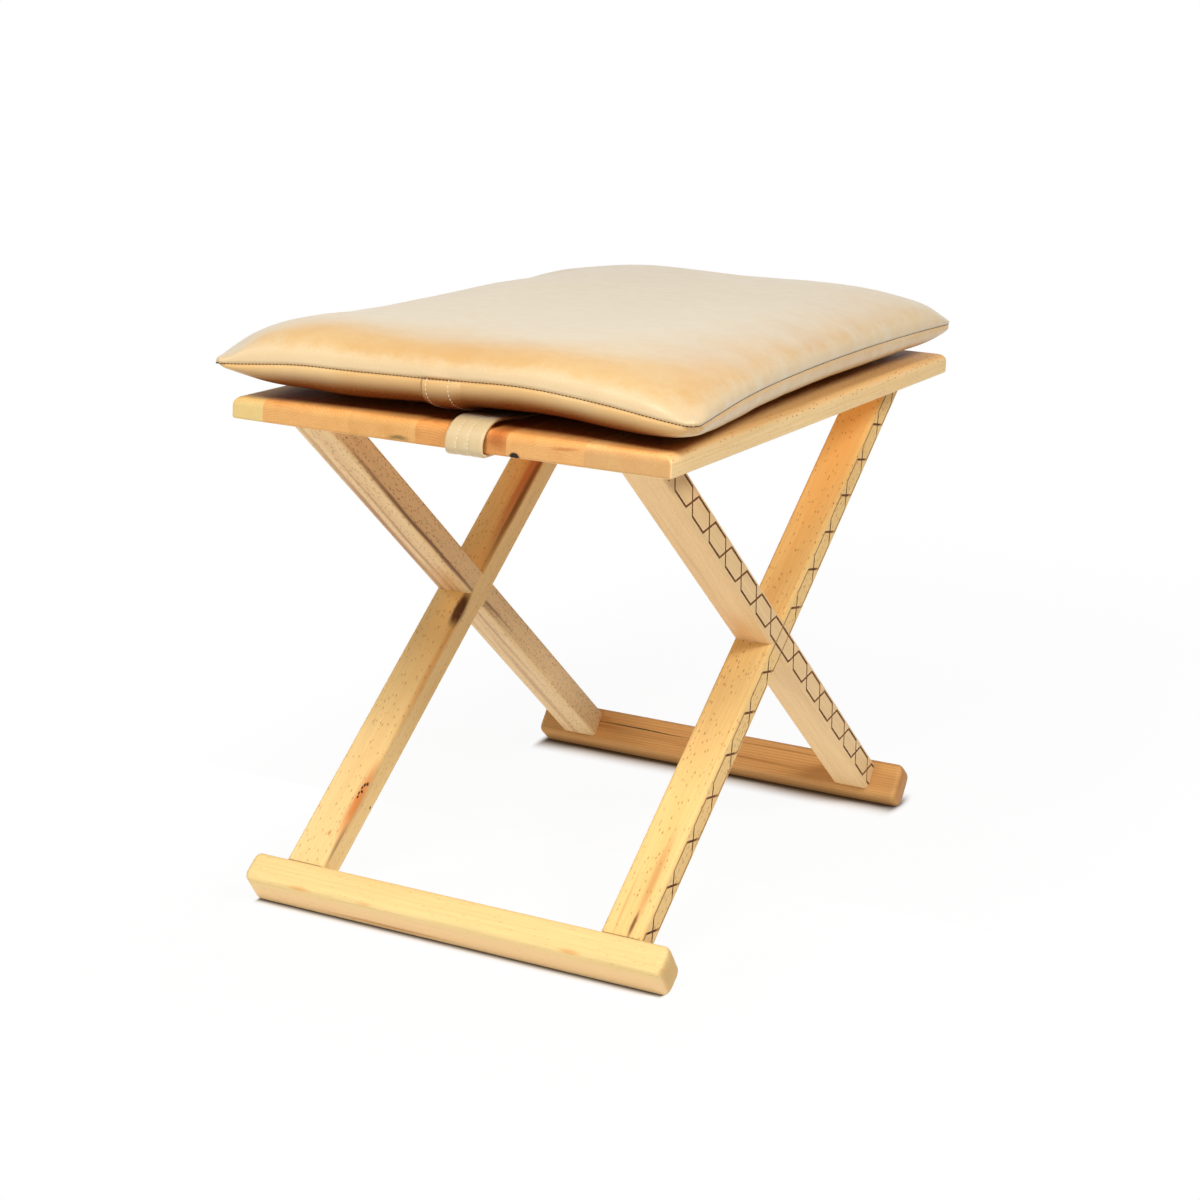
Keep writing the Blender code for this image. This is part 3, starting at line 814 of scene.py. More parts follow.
def make_board(finishes):
    """The board with its rounded edges, sawn into staves that meet in hairline glue lines."""
    levels = round_levels(SEAT_UNDERSIDE, SEAT_TOP, SEAT_EDGE_ROUND, SEAT_TOP_ROUND)
    left = -SEAT_WIDTH / 2
    for number, share in enumerate(STAVE_SHARES, start=1):
        right = left + SEAT_WIDTH * share / sum(STAVE_SHARES)
        shape = stacked_block(SEAT_WIDTH / 2, SEAT_DEPTH / 2, SEAT_CORNER_ROUND, levels, Matrix.Identity(4))
        if number > 1:
            slice_off(shape, (left + GLUE_LINE / 2, 0, 0), (-1, 0, 0))
        if number < len(STAVE_SHARES):
            slice_off(shape, (right - GLUE_LINE / 2, 0, 0), (1, 0, 0))
        stave = smooth_planes(from_bmesh(f"seat_stave_{number}_wood", shape, finishes[number - 1]))
        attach(stave, "frame")
        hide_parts(f"seat_stave_{number}")
        left = right


def crossed_outline():
    """Corners of an X of two bars in the YZ plane about the crossing, with its arms left over long."""
    sine, cosine = math.sin(LEAN), math.cos(LEAN)
    half = BAR_THICKNESS / 2
    over_long = HALF_LEG + BAR_THICKNESS * 2
    front, front_side = Vector((sine, cosine)), Vector((cosine, -sine))
    back, back_side = Vector((-sine, cosine)), Vector((cosine, sine))
    return [
        Vector((half / cosine, 0)),
        front * over_long + front_side * half, front * over_long - front_side * half,
        Vector((0, half / sine)),
        back * over_long + back_side * half, back * over_long - back_side * half,
        Vector((-half / cosine, 0)),
        -front * over_long - front_side * half, -front * over_long + front_side * half,
        Vector((0, -half / sine)),
        -back * over_long - back_side * half, -back * over_long + back_side * half,
    ]


def routed_cross(side):
    """Both legs of an X in one, with the arrises rounded along its outline and the ends cut to fit."""
    shape = bmesh.new()
    x = LEG_X if side == "right" else -LEG_X
    near = [shape.verts.new((x - BAR_WIDTH / 2, y, CROSS_HEIGHT + z)) for y, z in crossed_outline()]
    far = [shape.verts.new((x + BAR_WIDTH / 2, y, CROSS_HEIGHT + z)) for y, z in crossed_outline()]
    arrises = []
    for ring in (near, far):
        face = shape.faces.new(ring)
        arrises += face.edges[:]
    for first in range(len(near)):
        second = (first + 1) % len(near)
        shape.faces.new((near[first], near[second], far[second], far[first]))
    bmesh.ops.recalc_face_normals(shape, faces=shape.faces[:])
    bmesh.ops.bevel(shape, geom=arrises, offset=BAR_ROUND, segments=6, profile=0.5, affect="EDGES")
    slice_off(shape, (0, 0, SEAT_UNDERSIDE - GLUE_LINE), (0, 0, 1))
    for foot in ("front", "back"):
        place = leg_place(side, foot)
        slice_off(shape, place @ Vector((0, 0, FOOT_LINE - HALF_LEG)), place.to_3x3() @ Vector((0, 0, -1)))
    return shape


def make_leg(side, foot, wood, grooves):
    """One leg of an X, halved into the other, with the carved chain on its outer face."""
    shape = routed_cross(side)
    place = leg_place(side, foot)
    for way in (1, -1):
        edge = place @ Vector((0, way * (BAR_THICKNESS / 2 + LAP_LINE), 0))
        slice_off(shape, edge, place.to_3x3() @ Vector((0, way, 0)))
    leg = from_bmesh(f"{side}_{foot}_leg_wood", shape, wood)

    outward = 1 if side == "right" else -1
    removed = -outward if foot == "back" else outward
    low, high = sorted((removed * LAP_LINE, removed * BAR_WIDTH))
    half = BAR_THICKNESS / 2 + LAP_LINE
    notch = bmesh.new()
    size = Matrix.Diagonal((high - low, 2 * half, 4 * BAR_THICKNESS, 1.0))
    other = leg_place(side, "front" if foot == "back" else "back")
    middle = Matrix.Translation(((low + high) / 2, 0, 0))
    bmesh.ops.create_cube(notch, size=1.0, matrix=other @ middle @ size)
    subtract(leg, from_bmesh(f"{side}_{foot}_notch", notch, wood))
    for carved in ("front", "back"):
        for tool in carved_tools(side, carved, grooves[side, carved]):
            subtract(leg, tool)
    smooth_planes(leg)
    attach(leg, "frame")
    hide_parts(f"{side}_{foot}_leg")


def make_rail(foot, wood):
    """A foot rail with soft arrises and softer ends, planed flat where it stands."""
    levels = round_levels(-FOOT_LENGTH / 2, FOOT_LENGTH / 2, RAIL_END_ROUND, RAIL_END_ROUND)
    place = rail_place(foot)
    lengthways = place @ Matrix.Translation((0, 0, -BAR_THICKNESS / 2)) @ RAIL_GRAIN
    shape = stacked_block(BAR_THICKNESS / 2, BAR_WIDTH / 2, RAIL_ROUND, levels, lengthways)
    slice_off(shape, (0, 0, 0), (0, 0, -1))
    rail = smooth_planes(from_bmesh(f"{foot}_foot_rail_wood", shape, wood))
    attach(rail, "frame")
    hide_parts(f"{foot}_foot_rail")


# Cushion


def crowded(cells, fullness):
    """Grid values from -1 to 1, crowded at the seams where the cover turns steeply."""
    even = np.sin(np.linspace(-math.pi / 2, math.pi / 2, cells + 1))
    close = 1 - (np.array(COVER_LEVELS) / CUSHION_CROWN) ** (1 / STEEPNESS) / fullness
    return np.unique(np.concatenate([even, close, -close]))


def cover_grid():
    """The cover's grid values across and lengthways."""
    across, lengthways = COVER_CELLS
    return crowded(across, FULLNESS_ACROSS), crowded(lengthways, FULLNESS_ALONG)


def rim_places(rows, columns):
    """Places round the rim of a grid, in order."""
    rim = [(i, 0) for i in range(rows)]
    rim += [(rows - 1, j) for j in range(1, columns)]
    rim += [(i, columns - 1) for i in range(rows - 2, -1, -1)]
    rim += [(0, j) for j in range(columns - 2, 0, -1)]
    return rim


def swell(u, v, places):
    """How far soft round places lift the cover, each with its middle, its reach and its height."""
    total = np.zeros_like(u)
    for middle_u, middle_v, reach_u, reach_v, lift in places:
        total += lift * np.exp(-(((u - middle_u) / reach_u) ** 2) - ((v - middle_v) / reach_v) ** 2)
    return total


def plain_cover(u, v, face):
    """The cover before its creases: its points, the seam's height and the rise from the seam.

    The places u and v run from -1 to 1 across and lengthways. The face is 1 on the top and -1 underneath.
    """
    across = np.clip(1 - np.abs(u) ** FULLNESS_ACROSS, 0, 1)
    lengthways = np.clip(1 - np.abs(v) ** FULLNESS_ALONG, 0, 1)
    full = (across * lengthways) ** STEEPNESS
    gap_x = (1 - np.abs(u)) * CUSHION_HALF_WIDTH
    gap_y = (1 - np.abs(v)) * CUSHION_HALF_DEPTH
    corner = np.hypot(gap_x, gap_y)
    full = full * (1 - EAR_PINCH * np.exp(-((corner / EAR_LENGTH) ** 2)))
    nub = np.where(v > 0, BACK_EAR_NUB, EAR_NUB) * np.exp(-((corner / EAR_REACH) ** 2))
    nub = nub * np.clip(np.minimum(gap_x, gap_y) / EAR_EDGE, 0, 1) ** 0.5
    tuck = EAR_ROUND * np.exp(-((corner / EAR_TIP) ** 2))
    x = u * (CUSHION_HALF_WIDTH - CUSHION_DRAW_IN * (1 - v * v)) - np.sign(u) * tuck
    y = v * (CUSHION_HALF_DEPTH - CUSHION_DRAW_IN * (1 - u * u)) - np.sign(v) * tuck
    seam = SEAM_RISE - SEAM_DROOP * (u * v) ** 2
    side = np.where(u > 0, SEAM_RIGHT_DROP, SEAM_LEFT_DROP)
    seam = seam - side * u ** 4 * (1 - v * v) - SEAM_END_DROP * v ** 4 * (1 - u * u)
    seam = seam + swell(u, v, SEAM_PLACES)
    if face > 0:
        z = seam + CUSHION_CROWN * full + nub + swell(u, v, FILL_PLACES) * full
    else:
        belly = (1 - np.abs(u) ** BELLY_ACROSS) * (1 - np.abs(v) ** BELLY_ALONG)
        belly = np.clip(belly, 0, 1) ** BELLY_STEEPNESS
        past_x = np.clip(BELLY_CORNER - gap_x, 0, None)
        past_y = np.clip(BELLY_CORNER - gap_y, 0, None)
        inside = np.clip(BELLY_CORNER - np.hypot(past_x, past_y), 0, None)
        nearest = np.clip(np.minimum(gap_x, gap_y), 1e-6, BELLY_CORNER)
        belly = belly * np.clip(inside / nearest, 0, 1) ** BELLY_CORNER_SWEEP
        hang = BELLY_DEPTH + swell(u, v, BELLY_PLACES)
        beside_strap = np.clip((np.abs(u) - SAG_START) / SAG_RAMP, 0, 1)
        z = np.maximum(-BELLY_SAG * beside_strap, seam - hang * belly)
    return np.stack([x, y, z], -1), seam, full * face


def ripple(points, size, seed):
    """Smooth noise from about -1 to 1 at points, at a size in metres."""
    flat = points.reshape(-1, 3) / size
    values = [noise.noise(Vector(point) + Vector((seed, 0, 0))) for point in flat.tolist()]
    return np.array(values).reshape(points.shape[:-1])


def cover(us, vs, face):
    """Points and outward directions of the cover over a grid, with its seam groove, puckers and slack."""
    v, u = np.meshgrid(vs, us)
    points, seam, rise = plain_cover(u, v, face)
    along_u = np.gradient(points, axis=0)
    along_v = np.gradient(points, axis=1)
    out = np.cross(along_u, along_v) * face
    out /= np.linalg.norm(out, axis=-1, keepdims=True) + 1e-12
    edge = np.minimum((1 - np.abs(u)) * CUSHION_HALF_WIDTH, (1 - np.abs(v)) * CUSHION_HALF_DEPTH)
    from_seam = np.hypot(edge, points[..., 2] - seam)
    broad_depth, broad_size = SLACK_BROAD
    fine_depth, fine_size = SLACK_FINE
    slack = broad_depth * ripple(points, broad_size, 3.0) + fine_depth * ripple(points, fine_size, 8.0)
    slack *= np.clip(from_seam / SLACK_START, 0, 1)
    flat_places = points * np.array([1.0, 1.0, 0.25])
    depth = PUCKER_TOP if face > 0 else PUCKER_UNDER
    pucker = depth * ripple(flat_places, PUCKER_SIZE, 14.0) * np.exp(-((from_seam / PUCKER_REACH) ** 2))
    pucker *= np.clip(from_seam / PUCKER_START, 0, 1)
    resting = 1.0 if face > 0 else np.clip(points[..., 2] / REST_HEIGHT, 0, 1)
    points = points + out * ((slack + pucker) * resting)[..., None]

    # The seam is drawn in between the two rolled edges
    outline = np.stack([u ** SEAM_SQUARENESS, v ** SEAM_SQUARENESS, np.zeros_like(u)], -1)
    outline /= np.linalg.norm(outline, axis=-1, keepdims=True) + 1e-9
    groove = SEAM_GROOVE * np.exp(-((from_seam / SEAM_GROOVE_REACH) ** 2))
    points = points - outline * groove[..., None]
    return points, out, rise


def mark_rise(mesh, us, rises, folded=0.0):
    """Give a cover's mesh, point by point, its rise from the seam and its share of painted shade underneath.
    """
    # Painted shade underneath, eased in from the seam and kept lighter at the right side
    low = np.clip((DARK_START - rises) / DARK_RUN, 0, 1)
    beneath = low * low * (3 - 2 * low) * (1 - LIGHT_SIDE * np.clip(us, 0, 1) ** 10)
    beneath = np.maximum(beneath, folded)
    for name, values in (("rise", rises), ("beneath", beneath)):
        layer = mesh.attributes.new(name, "FLOAT", "POINT")
        layer.data.foreach_set("value", values.astype(np.float32))


def in_place(points):
    """Cushion points turned and set on the board."""
    cosine, sine = math.cos(CUSHION_TURN), math.sin(CUSHION_TURN)
    turned = points @ np.array([[cosine, sine, 0], [-sine, cosine, 0], [0, 0, 1]])
    return turned + np.array([*CUSHION_SLIP, CUSHION_BASE])


def make_cover(leather):
    """The sewn cover as one closed form, with the top and the underside sharing the seam."""
    us, vs = cover_grid()
    rows, columns = len(us), len(vs)
    top, _, top_rise = cover(us, vs, 1)
    under, _, under_rise = cover(us, vs, -1)
    rim = np.zeros((rows, columns), bool)
    rim[[0, -1], :] = True
    rim[:, [0, -1]] = True
    top_index = np.arange(rows * columns).reshape(rows, columns)
    under_index = top_index.copy()
    under_index[~rim] = rows * columns + np.arange((~rim).sum())
    points = np.concatenate([top.reshape(-1, 3), under[~rim]])
    quads = []
    for index, flip in ((top_index, False), (under_index, True)):
        corners = [index[:-1, :-1], index[1:, :-1], index[1:, 1:], index[:-1, 1:]]
        quad = np.stack([corner.ravel() for corner in corners], -1)
        quads.append(quad[:, ::-1] if flip else quad)
    mesh = bpy.data.meshes.new("cushion_cover")
    faces = [tuple(dict.fromkeys(face)) for face in np.concatenate(quads).tolist()]
    mesh.from_pydata(in_place(points).tolist(), [], faces)
    made = made_piece("cushion_cover", mesh, leather)
    _, u = np.meshgrid(vs, us)
    rises = np.concatenate([top_rise.ravel(), under_rise[~rim]])
    mark_rise(mesh, np.concatenate([u.ravel(), u[~rim]]), rises)
    mesh.shade_smooth()
    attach(made, "cushion")
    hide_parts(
        "cushion_top_panel", "cushion_bottom_left_panel", "cushion_bottom_right_panel", "cushion_foam"
    )


def make_hem(leather):
    """The folded hem of the opening: the right bottom panel lies over the left one, with a rounded edge.

    Returns the places of its two rows of stitches.
    """
    shares, lifts = np.array(HEM_SECTION).T
    us = (HEM_EDGE + shares * HEM_WIDTH) / CUSHION_HALF_WIDTH
    _, lengthways = cover_grid()
    vs = lengthways[2:-2]
    samples = np.linspace(us[0] - 0.01, us[-1] + 0.01, 60)
    surface, out, _ = cover(samples, vs, -1)

    def at(values):
        """Values of the sampled cover at the hem's own places across."""
        picked = np.empty((len(us), len(vs), 3))
        for column in range(len(vs)):
            for axis in range(3):
                picked[:, column, axis] = np.interp(us, samples, values[:, column, axis])
        return picked

    base, way = at(surface), at(out)
    room = np.clip(base[..., 2:3] / HEM_ROOM, 0.15, 1)
    lift = lifts[:, None, None] * HEM_THICKNESS
    outer = base + way * lift * room
    inner = base - way * HEM_SINK
    outer[..., 2] = np.maximum(outer[..., 2], HEM_REST)
    shape = bmesh.new()
    layers = []
    for grid in (outer, inner):
        placed_grid = in_place(grid.reshape(-1, 3)).reshape(grid.shape)
        layers.append([[shape.verts.new(point) for point in row] for row in placed_grid.tolist()])
    rows, columns = len(us), len(vs)
    over, beneath = layers
    for i in range(rows - 1):
        for j in range(columns - 1):
            shape.faces.new((over[i][j], over[i][j + 1], over[i + 1][j + 1], over[i + 1][j]))
            shape.faces.new((beneath[i][j], beneath[i + 1][j], beneath[i + 1][j + 1], beneath[i][j + 1]))
    border = rim_places(rows, columns)
    for (i, j), (k, m) in zip(border, border[1:] + border[:1]):
        shape.faces.new((over[i][j], over[k][m], beneath[k][m], beneath[i][j]))
    bmesh.ops.recalc_face_normals(shape, faces=shape.faces[:])
    hem = from_bmesh("cushion_hem", shape, leather)
    grid_v, grid_u = np.meshgrid(vs, us)
    _, _, rises = plain_cover(grid_u, grid_v, -1)
    # A strip along the hem's edge takes the underside's painted shade
    folded = np.repeat(np.where(shares < HEM_SHADE, 0.85, 0.0), columns)
    mark_rise(hem.data, np.tile(grid_u.ravel(), 2), np.tile(rises.ravel(), 2), np.tile(folded, 2))
    hem.data.shade_smooth()
    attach(hem, "cushion")

    rows_of_thread = []
    for offset in HEM_ROWS:
        share = offset / HEM_WIDTH
        row = []
        for column in range(len(vs)):
            point = [np.interp(share, shares, outer[:, column, axis]) for axis in range(3)]
            facing = [np.interp(share, shares, way[:, column, axis]) for axis in range(3)]
            row.append((in_place(np.array([point]))[0], facing))
        rows_of_thread.append(row)
    return rows_of_thread


def seam_line():
    """Points round the seam with the direction that it faces."""
    us, vs = cover_grid()
    points, _, _ = cover(us, vs, 1)
    ring = rim_places(len(us), len(vs))
    row = []
    for i, j in ring + ring[:1]:
        facing = Vector((us[i] ** SEAM_SQUARENESS, vs[j] ** SEAM_SQUARENESS, 0)).normalized()
        place = Vector(in_place(points[i:i + 1, j])[0])
        row.append((place, facing))
    return row


# Strap


def strap_route():
    """The strap's inner face as (y, z) points and outward directions, from its inner end to its tail."""
    end_y, under = SEAT_DEPTH / 2, SEAT_UNDERSIDE - STRAP_GAP
    lap = STRAP_LAP / 2
    drop = STRAP_THICKNESS + STRAP_GAP
    down = Vector((0, -1))
    quarter = math.pi / 2
    route = [(Vector((lap, under)), down)]
    under_bend = 2 * SEAT_EDGE_ROUND
    corners = (
        (-1, SEAT_UNDERSIDE + under_bend, (under_bend, under_bend), 3 * quarter),
        (-1, SEAT_TOP + STRAP_HUMP - STRAP_BEND[1], STRAP_BEND, 2 * quarter),
        (1, SEAT_TOP + STRAP_HUMP - STRAP_BEND[1], STRAP_BEND, quarter),
        (1, SEAT_UNDERSIDE + under_bend, (under_bend, under_bend), 0.0),
    )
    for end, height, (reach, rise), start in corners:
        centre = Vector((end * (end_y + STRAP_STANDOFF - reach), height))
        bend = []
        for share in np.linspace(0, 1, 11):
            angle = start - quarter * share
            offset = Vector(((reach + STRAP_GAP) * math.cos(angle), (rise + STRAP_GAP) * math.sin(angle)))
            way = Vector((math.cos(angle) / reach, math.sin(angle) / rise)).normalized()
            bend.append((centre + offset, way))
        # On top the slack strap comes down to the board a little way in from the edge
        settled = []
        if height > SEAT_UNDERSIDE + under_bend:
            for share in np.linspace(0, 1, 13)[1:]:
                fall = STRAP_HUMP * share * share * (3 - 2 * share)
                inward = centre.x - end * STRAP_HUMP_RUN * share
                settled.append((Vector((inward, SEAT_TOP + STRAP_GAP + STRAP_HUMP - fall)), Vector((0, 1))))
        route += bend + settled if end < 0 else settled[::-1] + bend
    ramp_end = lap + STRAP_THICKNESS
    route.append((Vector((ramp_end + STRAP_RAMP, under)), down))
    for share in np.linspace(0, 1, 9)[1:-1]:
        eased_share = share * share * (3 - 2 * share)
        route.append((Vector((ramp_end + STRAP_RAMP * (1 - share), under - drop * eased_share)), down))
    route.append((Vector((ramp_end, under - drop)), down))
    route.append((Vector((-lap, under - drop)), down))

    # Long straight runs get points of their own, so that the strap can wrinkle
    fine = [route[0]]
    for (point, way), (after, way_after) in zip(route, route[1:]):
        parts = max(1, int((after - point).length / STRAP_PITCH))
        for step in range(1, parts + 1):
            share = step / parts
            fine.append((point.lerp(after, share), way.lerp(way_after, share).normalized()))
    return fine


def make_strap(leather):
    """The strap as a flattened tube of folded leather, with a dent along each row of stitches.

    Returns the places of its rows of stitches.
    """
    half, thick = STRAP_WIDTH / 2, STRAP_THICKNESS
    fold = thick * STRAP_FOLD
    section = []
    for step in range(9):
        angle = -math.pi / 2 + math.pi * step / 8
        section.append((half - fold + fold * math.cos(angle), thick / 2 + fold * math.sin(angle)))
    for x in np.linspace(half - 2 * fold, -half + 2 * fold, 45):
        dent = sum(STRAP_DENT * math.exp(-(((x - row) / STRAP_DENT_REACH) ** 2)) for row in STRAP_ROWS)
        section.append((x, thick / 2 + fold - dent))
    for step in range(9):
        angle = math.pi / 2 + math.pi * step / 8
        section.append((-half + fold + fold * math.cos(angle), thick / 2 + fold * math.sin(angle)))
    shape = bmesh.new()
    rings, rows = [], [[] for _ in STRAP_ROWS]
    for (y, z), (way_y, way_z) in strap_route():
        ring = []
        for x, height in section:
            wrinkle = STRAP_WRINKLE * noise.noise(Vector((x * 60, y * 45, z * 45)))
            lift = height + wrinkle * min(1.0, height / thick * 2)
            ring.append(shape.verts.new((STRAP_OFFSET + x, y + lift * way_y, z + lift * way_z)))
        rings.append(ring)
        for row, x in zip(rows, STRAP_ROWS):
            height = thick / 2 + fold - THREAD_SINK
            row.append(((STRAP_OFFSET + x, y + height * way_y, z + height * way_z), (0, way_y, way_z)))
    skin(shape, rings)
    strap = from_bmesh("cushion_strap_leather", shape, leather)
    strap.data.shade_smooth()
    strap.data.set_sharp_from_angle(angle=math.radians(50))
    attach(strap, "strap")
    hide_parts("cushion_strap")
    return rows


# Studio


def make_camera():
    """The camera where the photograph was taken, with its tilt, roll and framing."""
    sine, cosine = math.sin(CAMERA_AZIMUTH), math.cos(CAMERA_AZIMUTH)
    level = math.cos(CAMERA_TILT)
    ahead = Vector((-sine * level, cosine * level, -math.sin(CAMERA_TILT)))
    right = Vector((cosine, sine, 0))
    up = right.cross(ahead)
    rolled_right = right * math.cos(CAMERA_ROLL) + up * math.sin(CAMERA_ROLL)
    rolled_up = up * math.cos(CAMERA_ROLL) - right * math.sin(CAMERA_ROLL)
    data = bpy.data.cameras.new("camera")
    data.sensor_width = 36.0
    data.lens = FOCAL_PIXELS * data.sensor_width / PICTURE_SIZE
    data.shift_y = (PRINCIPAL_ROW - PICTURE_SIZE / 2) / PICTURE_SIZE
    camera = bpy.data.objects.new("camera", data)
    turn = Matrix((rolled_right, rolled_up, -ahead)).transposed().to_4x4()
    camera.matrix_world = Matrix.Translation(CAMERA_EYE) @ turn
    bpy.context.scene.collection.objects.link(camera)
    bpy.context.scene.camera = camera


def make_floor():
    """An evenly lit white floor that keeps the stool's shadow, with painted shadow along the foot rails."""
    shape = bmesh.new()
    bmesh.ops.create_grid(shape, x_segments=24, y_segments=24, size=8.0)
    made = bpy.data.materials.new("studio_floor")
    made.use_nodes = True
    tree = made.node_tree
    tree.nodes.clear()
    coords = put(tree, "ShaderNodeTexCoord").outputs["Object"]
    spot = put(tree, "ShaderNodeSeparateXYZ", Vector=coords)

    # How far a spot is from the nearer foot rail
    rail_end = FOOT_LENGTH / 2 - RAIL_END_ROUND
    past_ends = figure(tree, "SUBTRACT", figure(tree, "ABSOLUTE", spot.outputs["X"]), rail_end)
    past_ends = figure(tree, "MULTIPLY", figure(tree, "MAXIMUM", past_ends, 0.0), SHADE_END)
    from_rail = figure(tree, "SUBTRACT", figure(tree, "ABSOLUTE", spot.outputs["Y"]), SOLE_Y)
    squared = figure(tree, "MULTIPLY", from_rail, from_rail)
    away = figure(tree, "SQRT", figure(tree, "MULTIPLY_ADD", past_ends, past_ends, squared))
    behind = figure(tree, "GREATER_THAN", spot.outputs["Y"], 0.0)
    away = figure(tree, "MULTIPLY", away, eased(tree, behind, 0.0, 1.0, 1.0, SHADE_BEHIND))

    # Close to a rail the floor is painted dark, as a painted shadow, then nearly white with a little of the
    # lamps' shadow, then white
    near_white = eased(tree, away, 0.003, 0.016, 0.0, 0.95)
    white_share = figure(tree, "ADD", near_white, eased(tree, away, 0.10, 0.5, 0.0, 0.05))
    level = eased(tree, away, 0.001, 0.012, 0.16, 0.93)
    lit = put(tree, "ShaderNodeBsdfDiffuse", Color=grey(tree, level))
    white = put(tree, "ShaderNodeEmission", Color=(1.0, 1.0, 1.0, 1.0), Strength=1.0)
    seen = put(tree, "ShaderNodeLightPath")
    plain = figure(tree, "MAXIMUM", seen.outputs["Is Camera Ray"], seen.outputs["Is Glossy Ray"])
    share = figure(tree, "MULTIPLY", white_share, plain)
    # The floor glows on the stool as painted bounce light, with less of it close to a rail as painted shade
    # on the rails
    glow = eased(tree, away, 0.0, 0.022, 0.25 * FLOOR_GLOW, FLOOR_GLOW)
    share = figure(tree, "MAXIMUM", share, figure(tree, "MULTIPLY", seen.outputs["Is Diffuse Ray"], glow))
    blend = put(tree, "ShaderNodeMixShader", Fac=share)
    tree.links.new(lit.outputs[0], blend.inputs[1])
    tree.links.new(white.outputs[0], blend.inputs[2])

    # Past the edge of the paper the floor throws hardly any light on the stool
    past_paper = eased(tree, vector_figure(tree, "LENGTH", coords).outputs["Value"], *PAPER_FADE)
    unlit = put(tree, "ShaderNodeBsdfDiffuse", Color=(0.02, 0.02, 0.02, 1.0))
    dimmed = figure(tree, "MULTIPLY", seen.outputs["Is Diffuse Ray"], past_paper)
    paper = put(tree, "ShaderNodeMixShader", Fac=dimmed)
    tree.links.new(blend.outputs[0], paper.inputs[1])
    tree.links.new(unlit.outputs[0], paper.inputs[2])
    leave = tree.nodes.new("ShaderNodeOutputMaterial")
    tree.links.new(paper.outputs[0], leave.inputs["Surface"])
    from_bmesh("studio_floor", shape, made)


def make_world():
    """White for the camera and in gloss, and a softer level of light on the stool."""
    world = bpy.data.worlds.new("studio")
    bpy.context.scene.world = world
    world.use_nodes = True
    tree = world.node_tree
    tree.nodes.clear()
    seen = put(tree, "ShaderNodeLightPath")
    clear = figure(tree, "MAXIMUM", seen.outputs["Is Camera Ray"], seen.outputs["Is Glossy Ray"])
    clear = figure(tree, "MAXIMUM", clear, seen.outputs["Is Transmission Ray"])
    white = put(tree, "ShaderNodeBackground", Color=(1.0, 1.0, 1.0, 1.0), Strength=1.0)
    soft = put(tree, "ShaderNodeBackground", Color=(0.98, 0.99, 1.0, 1.0), Strength=0.03)
    blend = put(tree, "ShaderNodeMixShader")
    tree.links.new(clear, blend.inputs[0])
    tree.links.new(soft.outputs[0], blend.inputs[1])
    tree.links.new(white.outputs[0], blend.inputs[2])
    leave = tree.nodes.new("ShaderNodeOutputWorld")
    tree.links.new(blend.outputs[0], leave.inputs["Surface"])


def make_lamp(name, place, aim, size, power):
    """A square soft box."""
    data = bpy.data.lights.new(name, "AREA")
    data.size = size
    data.energy = power
    lamp = bpy.data.objects.new(name, data)
    way = Vector(aim) - Vector(place)
    lamp.matrix_world = Matrix.Translation(place) @ way.to_track_quat("-Z", "Y").to_matrix().to_4x4()
    bpy.context.scene.collection.objects.link(lamp)


make_camera()
make_world()
make_floor()
make_lamp("overhead_box", (-0.2, -0.3, 2.6), (0, 0, 0.2), 3.0, 1.5)
make_lamp("front_box", (0.3, -1.75, 2.35), (0, 0, 0.3), 0.9, 39.5)
make_lamp("right_box", (2.05, -0.8, 2.2), (0, 0, 0.3), 0.8, 45.0)
make_lamp("left_box", (-2.2, -1.1, 2.0), (0, 0, 0.3), 1.0, 13.0)
make_lamp("low_front_box", (-0.2, -2.2, 0.22), (0, 0, 0.3), 0.36, 9.0)

# Wood, stick by stick. Board staves have their grain along Y, so their Z is turned that way
HEART = (0.58, 0.20, 0.050)
HEART_DARK = (0.12, 0.045, 0.015)
ORANGE = (0.66, 0.22, 0.050)
KNOT = (0.022, 0.016, 0.012)
# The staves' upward faces go deeper orange: painted shade from the cushion
TOP_SHADE_TINT = (1.0, 0.84, 0.66)
STAVE_END = (0.79, 0.73, 0.65)
BOARD_GRAIN = Matrix.Rotation(-math.pi / 2, 4, "X")

# Black specks round the knot near the left front foot: across and along the leg, and their half sizes
KNOT_SPECKS = (
    (0.0172, -0.2270, 0.0011, 0.0018),
    (0.0154, -0.2290, 0.0012, 0.0019),
    (0.0143, -0.2322, 0.0010, 0.0022),
    (0.0158, -0.2352, 0.0015, 0.0014),
    (0.0139, -0.2378, 0.0010, 0.0020),
    (0.0147, -0.2412, 0.0011, 0.0018),
)
knot_specks = tuple(
    ((x, -BAR_THICKNESS / 2, z), (half_x, 0.005, half_z), KNOT, 1.0, 0.4)
    for x, z, half_x, half_z in KNOT_SPECKS
)


def stave_place(x):
    """A stave's own frame: X across, Z along the grain, with its origin at the board's front end."""
    return Matrix.Translation((x, -SEAT_DEPTH / 2, (SEAT_TOP + SEAT_UNDERSIDE) / 2)) @ BOARD_GRAIN


